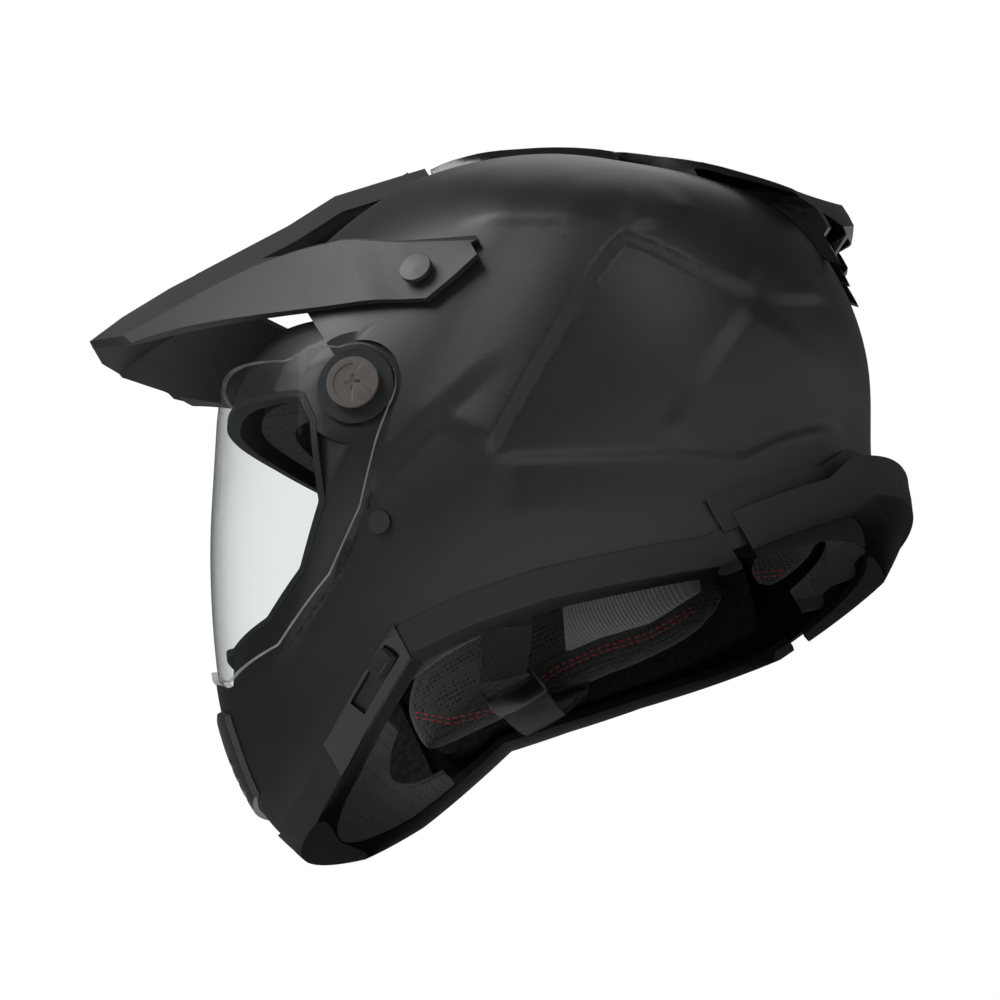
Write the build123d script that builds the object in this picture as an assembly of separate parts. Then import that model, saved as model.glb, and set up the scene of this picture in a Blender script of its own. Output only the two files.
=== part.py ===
from build123d import *
from functools import lru_cache
from math import cos, pi, sin, radians
import os

os.makedirs("parts", exist_ok=True)

# Dual sport helmet standing on a table: +Z up, the face towards -Y, the wearer's left towards +X.
# The origin is the middle of the base, on the table. Sizes are in millimetres.

# Shell form
CROWN_HEIGHT = 262.0
CHIN_REACH = 183.3
NAPE_REACH = 167.6
HALF_WIDTH = 122.0
EQUATOR_HEIGHT = 115.0
SHELL_WALL = 5.0
WEARING_TILT = 26.5

# Fits
SEAT_GAP = 0.3
RUN_GAP = 0.5

# Where a cut of the left half starts, so that it passes the middle
PAST_MIDDLE = -6.0

# Base trim
TRIM_FLOOR = 4.0
TRIM_HEIGHT = 13.0
TRIM_PROUD = 1.6
TRIM_LEDGE = 18.0
LIP_HEIGHT = 9.0
LIP_THICK = 2.0
SKIRT_START = 66.0
SKIRT_FLARE = 8.0
SKIRT_STEP = 11.0
GRILLE_REACH = 38.0

# Visor and its hinge
PIVOT_Y = -44.2
PIVOT_Z = 143.8
VISOR_HALF_WIDTH = 120.5
VISOR_REACH = 97.8
VISOR_THICK = 2.4
VISOR_GAP = 2.6
VISOR_OPEN = 35.0
VISOR_BROW = 22.0
POD_RADIUS = 19.0
POD_FLAT = 14.0
POD_HOLE = 10.2
DISC_RADIUS = 11.8
DISC_PROUD = 1.6
PLATE_THICK = 1.6
PLATE_RADIUS = 17.5
SEAL_WIDE = 3.0
SEAL_DEEP = 6.4
SEAL_SUNK = 0.1
BOSS_RADIUS = 26.0

# Inner sun visor
SUN_INSET = 18.0
SUN_THICK = 2.0
SUN_TOP = 68.0
SUN_EDGE = 27.0
SUN_DROP = 42.0
SUN_HUB = 9.0
PIN_RADIUS = 3.0

# Inner layers
FOAM_THICK = 32.0
LINER_THICK = 9.0
BLOCK_THICK = 15.0

# Peak
PEAK_WALL = 3.2
TONGUE_HALF = 21.0
TONGUE_DEPTH = 9.0
SCREW_HEAD_RADIUS = 7.4
SCREW_HEAD_THICK = 2.6
SCREW_RADIUS = 3.4
PEAK_SCREW_Y = 4.1
PEAK_SCREW_Z = 174.6
CENTRE_SCREW_Y = 6.0
CENTRE_BOSS_RADIUS = 7.0
CENTRE_BOSS_ROOM = 40.0
CENTRE_HEAD_RADIUS = 5.5
PLUG_RADIUS = 5.0
PLUG_Y = -62.8
PLUG_Z = 83.7
RELIEF_DEEP = 2.5

# Top vent and spoiler
VENT_HALF_TOP = 20.0
VENT_HALF_BASE = 31.0
VENT_FRONT = 26.0
VENT_REAR = 106.0
VENT_TRAVEL = 10.0
SPOILER_HALF = 46.0
SPOILER_PLATE = 6.0
HALF_LENGTH = 186.5

# Chin vent
CHIN_VENT_TOP = 72.0
CHIN_VENT_BASE = 30.0
CHIN_VENT_HALF = 40.0
CHIN_KNOB_TRAVEL = 12.0

# Straps and buckle
STRAP_WIDE = 22.0
STRAP_THICK = 2.4
STRAP_ROUTE = ((72, -30, 66), (70, -32, 48), (64, -38, 30), (45, -52, 17))
BUCKLE_PLACE = (22.0, -52.0, 15.0)

# Sun visor lever
LEVER_FRONT = -134.0
LEVER_REAR = -79.0
LEVER_HEIGHT = 15.0
LEVER_PROUD = 3.0
LEVER_TRAVEL = 18.0
LEVER_HIGH = (-90.0, 32.0)
LEVER_LOW = (-107.0, 25.0)
KNOB_RISE = 3.6
KNOB_WIDE = 5.0

# Each station of the shell form: height, front, rear and half width, as shares of the sizes above
STATIONS = (
    (-0.038, 0.937, 0.730, 0.694),
    (0.000, 0.947, 0.751, 0.750),
    (0.076, 0.985, 0.789, 0.827),
    (0.191, 1.000, 0.863, 0.918),
    (0.305, 0.973, 0.953, 0.977),
    (0.439, 0.896, 1.000, 1.000),
    (0.573, 0.800, 0.976, 0.996),
    (0.687, 0.705, 0.863, 0.947),
    (0.782, 0.601, 0.714, 0.839),
    (0.863, 0.489, 0.577, 0.684),
    (0.927, 0.360, 0.413, 0.501),
    (0.966, 0.238, 0.275, 0.339),
    (0.989, 0.120, 0.190, 0.190),
)
APEX_Y = 9.0
SECTION_POINTS = 16

# Lower rim of the helmet seen from the side, as Y and Z
RIM = ((-230, 40), (-188, 10), (-178, 0), (-156, 0), (-128, 8), (-77, 29), (-48, 25), (-12, 18),
       (24, 8.5), (58, 0), (118, 0), (132, 7), (230, 7))


def share(low, high, value):
    """Place of a value between two limits, from 0 to 1."""
    return min(1.0, max(0.0, (value - low) / (high - low)))


def widest_y(height):
    """Y of the widest place of the section at a height."""
    bend = 0.687
    if height < bend:
        return 14.3 - 39.0 * ((bend - height) / 0.725) ** 2
    return 14.3 - 5.3 * (height - bend) / (1 - bend)


def powers(height):
    """Powers of the front and the rear half of the section at a height."""
    front = 1.9 + 0.4 * sin(pi * share(0.2, 1.0, height))
    rear = 2.3 - 0.3 * share(0.45, 1.0, height)
    return front, rear


def arm_of(value, power):
    """Signed power that turns a circle into the rounder section of the shell."""
    return (abs(value) ** (2 / power)) * (1 if value >= 0 else -1)


def station(height):
    """Front, rear and half width at a height share, smoothly between the stations."""
    last = len(STATIONS) - 1
    index = max(1, min(last, next((i for i, s in enumerate(STATIONS) if s[0] >= height), last)))
    low, high = STATIONS[index - 1], STATIONS[index]
    before = STATIONS[max(0, index - 2)]
    after = STATIONS[min(last, index + 1)]
    span = high[0] - low[0]
    t = (height - low[0]) / span
    values = []
    for k in (1, 2, 3):
        slope_low = (high[k] - before[k]) / (high[0] - before[0]) * span
        slope_high = (after[k] - low[k]) / (after[0] - low[0]) * span
        rise = high[k] - low[k]
        curve = t * t * (3 - 2 * t) * rise + t * (1 - t) ** 2 * slope_low - t * t * (1 - t) * slope_high
        values.append(low[k] + curve)
    return -values[0] * CHIN_REACH, values[1] * NAPE_REACH, values[2] * HALF_WIDTH


def scales(inset):
    """Shares by which an inset draws the form in sideways, lengthways and upwards."""
    return 1 - inset / HALF_WIDTH, 1 - inset / CHIN_REACH, 1 - inset / (CROWN_HEIGHT - EQUATOR_HEIGHT)


def skin_x(y, z, inset=0.0):
    """Half width of the form at a place seen from the side."""
    wide, long, tall = scales(inset)
    raised = EQUATOR_HEIGHT + (z - EQUATOR_HEIGHT) / tall if z > EQUATOR_HEIGHT else z
    height = raised / CROWN_HEIGHT
    front, rear, half = station(height)
    middle = widest_y(height)
    power = powers(height)[0 if y / long < middle else 1]
    depth = (middle - front) if y / long < middle else (rear - middle)
    inside = 1 - min(1.0, abs(y / long - middle) / depth) ** power
    return wide * half * inside ** (1 / power)


def ring_wire(points):
    """Smooth closed wire through points, with evenly spaced parameters."""
    steps = [i / len(points) for i in range(len(points) + 1)]
    return Wire([Edge.make_spline([Vector(*p) for p in points], periodic=True, parameters=steps)])


@lru_cache(maxsize=None)
def body_form(inset=0.0):
    """Closed solid of the shell's outer form, drawn in by an inset."""
    wide, long, tall = scales(inset)
    wires = []
    for row in STATIONS:
        height = row[0]
        front, rear, half = station(height)
        middle = widest_y(height)
        front_power, rear_power = powers(height)
        z = height * CROWN_HEIGHT
        if z > EQUATOR_HEIGHT:
            z = EQUATOR_HEIGHT + (z - EQUATOR_HEIGHT) * tall
        points = []
        for i in range(SECTION_POINTS):
            turn = 2 * pi * i / SECTION_POINTS + pi / 2
            power = front_power if sin(turn) < 0 else rear_power
            depth = (middle - front) if sin(turn) < 0 else (rear - middle)
            x = wide * half * arm_of(cos(turn), power)
            y = long * (middle + depth * arm_of(sin(turn), power))
            points.append((x, y, z))
        wires.append(ring_wire(points))
    top = EQUATOR_HEIGHT + (CROWN_HEIGHT - EQUATOR_HEIGHT) * tall
    return Solid.make_loft(wires + [Vertex(0, long * APEX_Y, top)])


def outline(points, radius=0.0):
    """Closed face seen from the side, from Y and Z points, with rounded corners."""
    corners = [(0, y, z) for y, z in points]
    if radius:
        return make_face(FilletPolyline(*corners, radius=radius, close=True))
    return Face(Wire.make_polygon(corners, close=True))


def across(face, inner=-150.0, outer=150.0):
    """Solid of a side face carried sideways from one X to another."""
    return extrude(Pos(inner, 0, 0) * face, amount=outer - inner, dir=(1, 0, 0))


def front_outline(points):
    """Closed face seen from the front, from X and Z points."""
    return Face(Wire.make_polygon([(x, 0, z) for x, z in points], close=True))


def slab(low, high):
    """Space between two heights above the rim, all over the helmet."""
    lower = [(y, z + low) for y, z in RIM]
    upper = [(y, z + high) for y, z in reversed(RIM)]
    return across(outline(lower + upper))


def above_rim(rise):
    """All the space higher than the rim plus a rise."""
    return across(outline([(y, z + rise) for y, z in RIM] + [(230, 400), (-230, 400)]))


def left_half(shape):
    """The part of a shape on the wearer's left."""
    return shape & Pos(100, 0, 150) * Box(200, 600, 600)


def whole(left):
    """One piece made of a left half and its mirror image."""
    return left + mirror(left, about=Plane.YZ)


def both_sides(shape):
    """The left piece and its mirror image."""
    return shape, mirror(shape, about=Plane.YZ)


def worn(shape):
    """Puts a shape drawn level around the visor's pivot into the standing pose."""
    return Pos(0, PIVOT_Y, PIVOT_Z) * Rot(-WEARING_TILT, 0, 0) * shape


def swung(shape, angle):
    """Turns a level shape upwards around the visor's pivot."""
    return Rot(-angle, 0, 0) * shape


def visor_section(level, inset, back=30.0):
    """Flat plan face of the visor's outside at a level over its pivot."""
    drop = max(0.0, -22.0 - level)
    half = VISOR_HALF_WIDTH - 0.086 * drop ** 1.3 - inset
    reach = VISOR_REACH - 0.0009 * (level + 24.0) ** 2 - inset
    power = 1.6 + 0.4 * min(1.0, drop / 93.0)
    points = []
    for i in range(9):
        turn = pi * i / 8
        forward = POD_FLAT + (reach - POD_FLAT) * arm_of(sin(turn), power)
        points.append((half * arm_of(cos(turn), power), -forward, level))
    steps = [i / 8 for i in range(9)]
    ends = [Vector(0, -1, 0), Vector(0, 1, 0)]
    front = Edge.make_spline([Vector(*p) for p in points], tangents=ends, parameters=steps)
    straight = Polyline(points[-1], (-half, back, level), (half, back, level), points[0])
    return Face(Wire([front] + list(straight.edges())))


def visor_block(inset, back=30.0):
    """Solid inside the visor's curved sheet, open to the rear."""
    lower = [visor_section(level, inset, back).outer_wire() for level in (-125, -100, -75, -50, -22)]
    upper = [visor_section(level, inset, back).outer_wire() for level in (-22, 18, 60)]
    return Solid.make_loft(lower) + Solid.make_loft(upper, ruled=True)


VISOR_OUTLINE = ((-11, 18.5), (-34, 16), (-79, 31), (-125, 44), (-125, -103), (-92, -104), (-75, -114),
                 (-43, -107), (-15, -81), (1, -54), (10, -26), (17, -8), (12, 14))
PORT_OUTLINE = ((-21.5, -14), (-27.5, -1), (-50.5, 4.6), (-82.5, 14.6), (-130, 26.5), (-130, -88.7),
                (-91.5, -90.7), (-73.5, -98.6), (-49.5, -93), (-30, -76), (-18.5, -49.5))
SIDE_RELIEF = ((-7.8, 82.3), (89.4, 146), (130.4, 99), (100, 56), (88, 40), (36, 61))


def visor_face():
    """Side outline of the visor around its pivot, with the round pods."""
    return outline(VISOR_OUTLINE, 5.0) + outline_disc(POD_RADIUS)


def outline_disc(radius, y=0.0, z=0.0):
    """Round face seen from the side."""
    return Plane(origin=(0, y, z), x_dir=(0, 1, 0), z_dir=(1, 0, 0)) * Circle(radius)


@lru_cache(maxsize=None)
def visor_room(gap):
    """Space on the left that the visor sweeps as it opens, with a gap all round."""
    edge = across(offset(visor_face(), gap), PAST_MIDDLE)
    closed = edge - visor_block(VISOR_THICK + gap, 60.0)
    reach = VISOR_REACH + 12.0
    corners = [(PAST_MIDDLE, 0, 0), (PAST_MIDDLE, -reach, 0), (150, -reach, 0), (150, 0, 0)]
    plan = Face(Wire.make_polygon(corners, close=True))
    sweep_face = plan - visor_section(0.0, VISOR_THICK + gap + SEAT_GAP, 20.0)
    swept = revolve(sweep_face, Axis((0, 0, 0), (-1, 0, 0)), VISOR_OPEN + VISOR_BROW)
    return worn(closed + swept)


@lru_cache(maxsize=None)
def port_room(grow=0.0):
    """Space of the eye port's left half, with its seal's width and more."""
    return worn(across(offset(outline(PORT_OUTLINE, 4.0), SEAL_WIDE + SEAT_GAP + grow), PAST_MIDDLE))


def cylinder_x(radius, inner, outer, y=0.0, z=0.0):
    """Round bar across the helmet, from one X to another."""
    return extrude(Pos(inner, 0, 0) * outline_disc(radius, y, z), amount=outer - inner, dir=(1, 0, 0))


def hinge_bar(radius, inner, outer):
    """Round bar on the left side of the visor's hinge line."""
    return cylinder_x(radius, inner, outer, PIVOT_Y, PIVOT_Z)


def ribbon_box(centre, along, wide, long, thick):
    """Box whose length follows a direction and whose flat side faces up as far as it can."""
    axis = Vector(*along).normalized()
    side = axis.cross(Vector(0, 0, 1)).normalized()
    plane = Plane(origin=centre, x_dir=axis, z_dir=side.cross(axis))
    return plane * Box(long, wide, thick)


# Shell

PEAK_FACE_TILT = 19.9


def peak_screw_place():
    """Place on the left arm of the peak where its screw's head lies, facing outwards."""
    return Location((120.9, PEAK_SCREW_Y, PEAK_SCREW_Z)) * Rot(0, 90 - PEAK_FACE_TILT, 0)


def side_boss(grow):
    """Round boss on the shell under the left arm of the peak."""
    return peak_screw_place() * Pos(0, 0, -PEAK_WALL - SEAT_GAP - 4 + grow) * Cylinder(9.0 + grow, 8.0)


def pocket(points, depth):
    """Shallow recess in the left side of the shell."""
    return across(outline(points, 4.0), 40.0, 150.0) - body_form(depth)


def make_outer_shell():
    """Hard shell with the visor's bay, eye port, side reliefs, seats and vent holes."""
    pod = hinge_bar(BOSS_RADIUS, 100.0, VISOR_HALF_WIDTH - VISOR_THICK - VISOR_GAP)
    outside = (left_half(body_form()) + pod) - visor_room(VISOR_GAP)
    inside = body_form(SHELL_WALL) - visor_room(VISOR_GAP + SHELL_WALL)
    shell = (outside - inside) & above_rim(TRIM_FLOOR + SEAT_GAP)
    shell -= port_room()
    shell -= pocket(SIDE_RELIEF, RELIEF_DEEP)
    shell -= cylinder_x(PLUG_RADIUS + SEAT_GAP, 60.0, 150.0, PLUG_Y, PLUG_Z)
    shell -= Pos(0, -CHIN_REACH, 48.0) * Box(44, 60, 20)
    shell -= Pos(11, VENT_FRONT + 22, CROWN_HEIGHT - 10) * Box(12, 16, 60)
    shell -= Pos(11, NAPE_REACH - 8, 160.0) * Box(14, 60, 16)
    shell += side_boss(0.0) - body_form(SHELL_WALL - 0.5)
    shell -= peak_screw_place() * Cylinder(SCREW_RADIUS + 0.1, 40.0)
    shell -= hinge_bar(4.2, 80.0, 130.0)
    shell = whole(shell)
    boss_top = TONGUE_TOP_AT_SCREW - PEAK_WALL - SEAT_GAP
    boss = Pos(0, CENTRE_SCREW_Y, 0) * extrude(Circle(CENTRE_BOSS_RADIUS), amount=boss_top)
    shell += boss - body_form(1.0)
    shell -= Pos(0, CENTRE_SCREW_Y, CROWN_HEIGHT) * Cylinder(SCREW_RADIUS + 0.1, 30)
    return shell


def make_plugs():
    """Round blanking plugs over the screws of the chin bar."""
    bar = cylinder_x(PLUG_RADIUS, 90.0, 130.0, PLUG_Y, PLUG_Z)
    bar &= body_form(-0.7) - body_form(SHELL_WALL)
    return both_sides(bar)


def make_base_trim():
    """Trim that wraps the shell's lower edge along the chin and both sides."""
    outer = left_half(body_form(-TRIM_PROUD)) & Pos(0, SKIRT_START - 200, 150) * Box(400, 400, 400)
    lip_start = SHELL_WALL + SEAT_GAP
    trim = (outer & slab(0, TRIM_HEIGHT)) - body_form(TRIM_LEDGE)
    trim -= body_form(lip_start + LIP_THICK) & above_rim(TRIM_FLOOR)
    trim -= body_form(lip_start) & above_rim(LIP_HEIGHT)
    trim -= (body_form(-SEAT_GAP) - body_form(lip_start)) & above_rim(TRIM_FLOOR)
    return whole(trim) - (lever_span(SEAT_GAP) - body_form())


def lever_span(gap):
    """Space of the lever's housing along the left of the rim."""
    long = LEVER_REAR - LEVER_FRONT + 2 * gap
    return Pos(75, (LEVER_FRONT + LEVER_REAR) / 2, 30) * Box(90, long, 80)


def flared_form(grow):
    """Shell form that flares out behind the start of the neck skirt."""
    rear = body_form(-grow) & Pos(0, SKIRT_START + 200, 100) * Box(400, 400, 400)
    reach = NAPE_REACH * 0.8 - SKIRT_START
    stretch = (reach + SKIRT_FLARE) / reach
    moved = Pos(0, -SKIRT_START, 0) * rear
    return Pos(0, SKIRT_START, 0) * scale(moved, by=(1, stretch, 1))


def make_neck_skirt():
    """Stepped bumper that wraps the nape below the shell."""
    lower = left_half(flared_form(TRIM_PROUD)) & slab(0, SKIRT_STEP + 6.0)
    upper = left_half(body_form(-2 * TRIM_PROUD)) & slab(SKIRT_STEP, SKIRT_STEP + 15.0)
    skirt = lower + upper - body_form(TRIM_LEDGE - 4.0)
    skirt -= body_form(-SEAT_GAP) & above_rim(TRIM_FLOOR)
    return whole(skirt & Pos(0, SKIRT_START + SEAT_GAP + 200, 150) * Box(400, 400, 400))


def make_exhaust_grille():
    """Ribbed neck vent between the skirt and the neck roll."""
    band = body_form(SHELL_WALL + SEAT_GAP)
    start = SKIRT_START + 12.0
    ring = (band - body_form(GRILLE_REACH)) & Pos(0, start + 100, 12.5) * Box(260, 200, 9)
    comb = Pos(0, start + 100, 15.5) * Box(260, 200, 3)
    for i in range(-4, 5):
        comb += Pos(0, 20, 12.5) * Rot(0, 0, 15.0 * i) * Pos(0, 100, 0) * Box(2.4, 200, 9)
    slots = [Pos(0, 20, 15.5) * Rot(0, 0, 15.0 * i + 7.5) * Pos(0, 100, 0) * Box(11, 20, 8) for i in range(-4, 4)]
    for slot in slots:
        comb -= slot
    return ring & comb


# Foam, pads and straps

FOAM_LOWER = ((200, 50), (70, 52), (36, 88), (-40, 97), (-70, 118), (-230, 118), (-230, 400), (200, 400))


def make_impact_liner():
    """Energy absorbing foam of the crown, with a slot for the sun visor and air channels."""
    start = SHELL_WALL + SEAT_GAP
    outer = left_half(body_form(start)) - visor_room(VISOR_GAP + start)
    foam = (outer - body_form(start + FOAM_THICK)) & across(outline(FOAM_LOWER))
    foam -= port_room(1.0)
    foam -= sun_room()
    inner = body_form(start + FOAM_THICK - 7) & Pos(0, 30, 250) * Box(200, 150, 200)
    for x in (0, 34):
        foam -= Pos(x, 40, 0) * Box(9, 230, 700) & inner
    foam -= peak_screw_place() * Cylinder(SCREW_RADIUS + 2.0, 44.0)
    foam -= Pos(0, CENTRE_SCREW_Y, CROWN_HEIGHT - 10) * Cylinder(SCREW_RADIUS + 2.0, 30)
    foam -= worn(cylinder_x(PIN_RADIUS + SEAT_GAP, 80, 130))
    return whole(foam)


def make_crown_liner():
    """Removable comfort lining inside the foam, in padded panels."""
    start = SHELL_WALL + 2 * SEAT_GAP + FOAM_THICK
    liner = body_form(start) - body_form(start + LINER_THICK)
    liner &= across(outline(((130, 78), (60, 92), (20, 108), (-30, 136), (-60, 160), (-60, 300), (130, 300))))
    for x in (-26, 26):
        liner -= Pos(x, 20, 200) * Box(3, 160, 200) & (body_form(start + 4) & Pos(0, 20, 245) * Box(90, 120, 90))
    return liner


def cheek_x(y, z):
    """X of the outer face of the left cheek pad."""
    return skin_x(y, z, SHELL_WALL + BLOCK_THICK + 3 * SEAT_GAP)


def pad_ring(centre, thick, tall, lean=0.0):
    """Rounded closed outline of a pad's section, across the helmet at one Y."""
    points = []
    for i in range(12):
        turn = 2 * pi * i / 12
        x = thick * arm_of(cos(turn), 2.6)
        z = tall * arm_of(sin(turn), 2.6)
        points.append((centre[0] + x + lean * z, centre[1], centre[2] + z))
    return ring_wire(points)


def make_cheek_pads():
    """Crowned cheek pads whose sides draw in towards both ends."""
    rows = ((-112, 5, 9, 46), (-104, 11, 19, 50), (-80, 16, 27, 58), (-45, 18, 33, 62), (-5, 18, 36, 60),
            (30, 15, 33, 56), (48, 9, 22, 54), (54, 4, 11, 53))
    rings = []
    for y, thick, tall, z in rows:
        lean = 0.12
        x = min(cheek_x(y, z - tall), cheek_x(y, z + tall), cheek_x(y, z)) - thick - 1.5
        rings.append(pad_ring((x - lean * 0.5 * tall, y, z), thick, tall, lean))
    pad = Solid.make_loft(rings) & body_form(SHELL_WALL + BLOCK_THICK + 2 * SEAT_GAP)
    pad -= port_room(4.0)
    pad -= strap_strip(STRAP_ROUTE, STRAP_WIDE + 1.0, STRAP_THICK + 2 * SEAT_GAP)
    return both_sides(pad)


BLOCK_OUTLINE = ((-108, 34), (-60, 34), (20, 22), (58, 20), (64, 50), (34, 84), (-40, 92), (-62, 76), (-96, 66))


def make_cheek_blocks():
    """Foam blocks between the shell and the cheek pads."""
    start = SHELL_WALL + SEAT_GAP
    block = body_form(start) - body_form(start + BLOCK_THICK)
    block &= across(outline(BLOCK_OUTLINE, 6.0), 20.0, 150.0)
    block &= above_rim(LIP_HEIGHT + SEAT_GAP)
    block -= port_room(1.0)
    return both_sides(block)


def make_chin_liner():
    """Foam bar inside the chin, with a channel behind the chin vent."""
    start = SHELL_WALL + SEAT_GAP
    bar = left_half(body_form(start)) & Pos(0, -160, 50) * Box(300, 96, 54)
    bar = bar - body_form(start + BLOCK_THICK) - visor_room(VISOR_GAP + start)
    bar &= above_rim(LIP_HEIGHT + SEAT_GAP)
    bar -= port_room(2.0)
    bar -= Pos(0, -CHIN_REACH, 48) * Box(36, 60, 16)
    return whole(bar)


def make_chin_curtain():
    """Mesh curtain that closes the gap under the chin."""
    inner = TRIM_LEDGE + SEAT_GAP
    sheet = body_form(inner) & Pos(0, -150, 10.0) * Box(300, 90, 60) & slab(1.0, 3.4)
    hollow = extrude(Pos(0, -62, 0) * Ellipse(62, 60), amount=60, both=True)
    return sheet - hollow


def make_breath_deflector():
    """Soft nose guard that stands behind the lower edge of the eye port."""
    start = SHELL_WALL + BLOCK_THICK + 2 * SEAT_GAP
    wall = left_half(body_form(start)) - body_form(start + 2.5)
    shape = front_outline(((-44, 58), (44, 58), (36, 84), (18, 96), (0, 90), (-18, 96), (-36, 84)))
    wall &= extrude(Pos(0, -100, 0) * shape, amount=120, dir=(0, -1, 0))
    return whole(wall - port_room(2.0))


def make_neck_roll():
    """Padded roll that closes the nape, fuller in the middle than at its ends."""
    rings = []
    for i in range(9):
        turn = radians(40 + 12.5 * i)
        full = sin(pi * (i + 0.9) / 9.8) ** 0.4
        inset = 51.0
        wide, long, _ = scales(inset)
        height = 30.0 / CROWN_HEIGHT
        front, rear, half = station(height)
        middle = widest_y(height)
        power = powers(height)[1]
        x = wide * half * arm_of(cos(turn), power)
        y = long * (middle + (rear - middle) * arm_of(sin(turn), power))
        out = Vector(x / (wide * half) ** 2, (y - long * middle) / (long * (rear - middle)) ** 2, 0).normalized()
        plane = Plane(origin=(x, y, 30.0), x_dir=out, z_dir=Vector(0, 0, 1).cross(out))
        rings.append((plane * Ellipse(12.0 * full, 15.0 * full)).wire())
    return Solid.make_loft(rings) & body_form(GRILLE_REACH + SEAT_GAP)


def strap_strip(points, wide, thick):
    """Webbing laid through points, flat side inwards."""
    left, right = [], []
    rows = []
    for i, point in enumerate(points):
        here = Vector(*point)
        ahead = Vector(*points[min(i + 1, len(points) - 1)])
        behind = Vector(*points[max(i - 1, 0)])
        along = (ahead - behind).normalized()
        flat = along.cross(Vector(0, 1, 0)).normalized()
        side = flat.cross(along).normalized()
        corners = []
        for s, f in ((-1, -1), (1, -1), (1, 1), (-1, 1)):
            corners.append(here + side * (s * wide / 2) + flat * (f * thick / 2))
        rows.append(Wire.make_polygon(corners, close=True))
    return Solid.make_loft(rows, ruled=True)


# Visor and its fittings

def make_visor():
    """Clear visor: one curved sheet with round pods, a lift tab and hinge holes."""
    sheet = left_half(visor_block(0.0)) - visor_block(VISOR_THICK, 60.0)
    visor = sheet & across(visor_face(), PAST_MIDDLE)
    tab = left_half(visor_block(-3.5)) - visor_block(0.5, 60.0)
    visor += tab & across(outline(((-125, -99.5), (-60, -99.5), (-60, -103.5), (-125, -103.5))), PAST_MIDDLE, 16)
    visor -= cylinder_x(POD_HOLE, 0, 150)
    return worn(whole(visor))


def make_pivot_plates():
    """Thin plates between the shell's bosses and the visor's pods."""
    outer = VISOR_HALF_WIDTH - VISOR_THICK - RUN_GAP
    plate = cylinder_x(PLATE_RADIUS, outer - PLATE_THICK, outer) - cylinder_x(POD_HOLE, 100, 130)
    return both_sides(worn(plate))


def make_pivot_discs():
    """Stepped discs that hold the visor's pods and let them turn."""
    inner = VISOR_HALF_WIDTH - VISOR_THICK - VISOR_GAP + SEAT_GAP
    outer = VISOR_HALF_WIDTH + RUN_GAP
    disc = cylinder_x(POD_HOLE - SEAT_GAP, inner, outer)
    disc += cylinder_x(DISC_RADIUS, outer, outer + DISC_PROUD)
    disc += cylinder_x(4.0, inner - 9.0, inner)
    step = cylinder_x(DISC_RADIUS - 3.0, outer + DISC_PROUD - 0.6, outer + 5)
    step &= Pos(outer, -10, 0) * Box(20, 20, 40)
    disc -= step
    for long, tall in ((7.0, 1.5), (1.5, 7.0)):
        disc -= Pos(outer + DISC_PROUD, 0, 0) * Box(2.0, long, tall)
    return both_sides(worn(disc))


def make_eye_port_seal():
    """Rubber seal around the eye port, under the visor."""
    lip = outline(PORT_OUTLINE, 4.0)
    face = VISOR_THICK + VISOR_GAP + SEAL_SUNK
    outer = left_half(visor_block(face)) & across(offset(lip, SEAL_WIDE), PAST_MIDDLE)
    ring = outer - visor_block(face + SEAL_DEEP, 60.0)
    return worn(whole(ring - across(lip, PAST_MIDDLE)))


def plan_sheet(outer, inner):
    """Plan face between two insets of the visor's curve, from the hinge line forwards."""
    front = Face(Wire.make_polygon([(-150, 0, 0), (-150, -150, 0), (150, -150, 0), (150, 0, 0)], close=True))
    ring = front & visor_section(0.0, outer, 20.0) if outer is not None else front
    return ring - visor_section(0.0, inner, 40.0)


def turned_sheet(face, low, high):
    """Level face swept about the hinge line between two angles above the level."""
    return swung(revolve(face, Axis((0, 0, 0), (-1, 0, 0)), high - low), low)


def sun_room():
    """Slot that the sun visor needs between the shell and the foam, in all its places."""
    face = plan_sheet(None, SUN_INSET + SUN_THICK + 1.0)
    room = turned_sheet(face, SUN_EDGE - SUN_DROP - 6.0, SUN_TOP + 3.0)
    inner = VISOR_HALF_WIDTH - SUN_INSET - SUN_THICK - 0.7
    for hub in both_sides(cylinder_x(SUN_HUB + 2.0, inner, 130)):
        room += hub
    return worn(room)


def make_sun_visor():
    """Tinted inner visor, a curved sheet of revolution on two side arms."""
    half_face = plan_sheet(SUN_INSET, SUN_INSET + SUN_THICK) & Pos(75, -75, 0) * Rectangle(150, 150)
    sheet = turned_sheet(half_face, SUN_EDGE, SUN_TOP)
    middle = radians((SUN_EDGE + SUN_TOP) / 2)
    arm_line = [(0, 0), (-60 * cos(middle - 0.42), 60 * sin(middle - 0.42)), (-130, 40), (-130, 190),
                (-40 * cos(middle + 0.5), 60 * sin(middle + 0.5))]
    half = VISOR_HALF_WIDTH - SUN_INSET
    visor = (sheet & across(outline(arm_line))) + cylinder_x(SUN_HUB, half - SUN_THICK, half)
    visor -= cylinder_x(PIN_RADIUS + 0.2, 0, 150)
    visor -= swung(Pos(0, -90, 0) * Cylinder(16, 30), SUN_EDGE)
    left = worn(visor) & body_form(SHELL_WALL + 1.0)
    return left + mirror(left, about=Plane.YZ)


def make_sun_pivots():
    """Pins that carry the sun visor's arms, seated in the foam."""
    half = VISOR_HALF_WIDTH - SUN_INSET
    pin = cylinder_x(PIN_RADIUS, half - SUN_THICK - 9, half + 0.4)
    pin += cylinder_x(6.0, half + SEAT_GAP, half + 1.8)
    return both_sides(worn(pin))


# Peak

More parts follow.
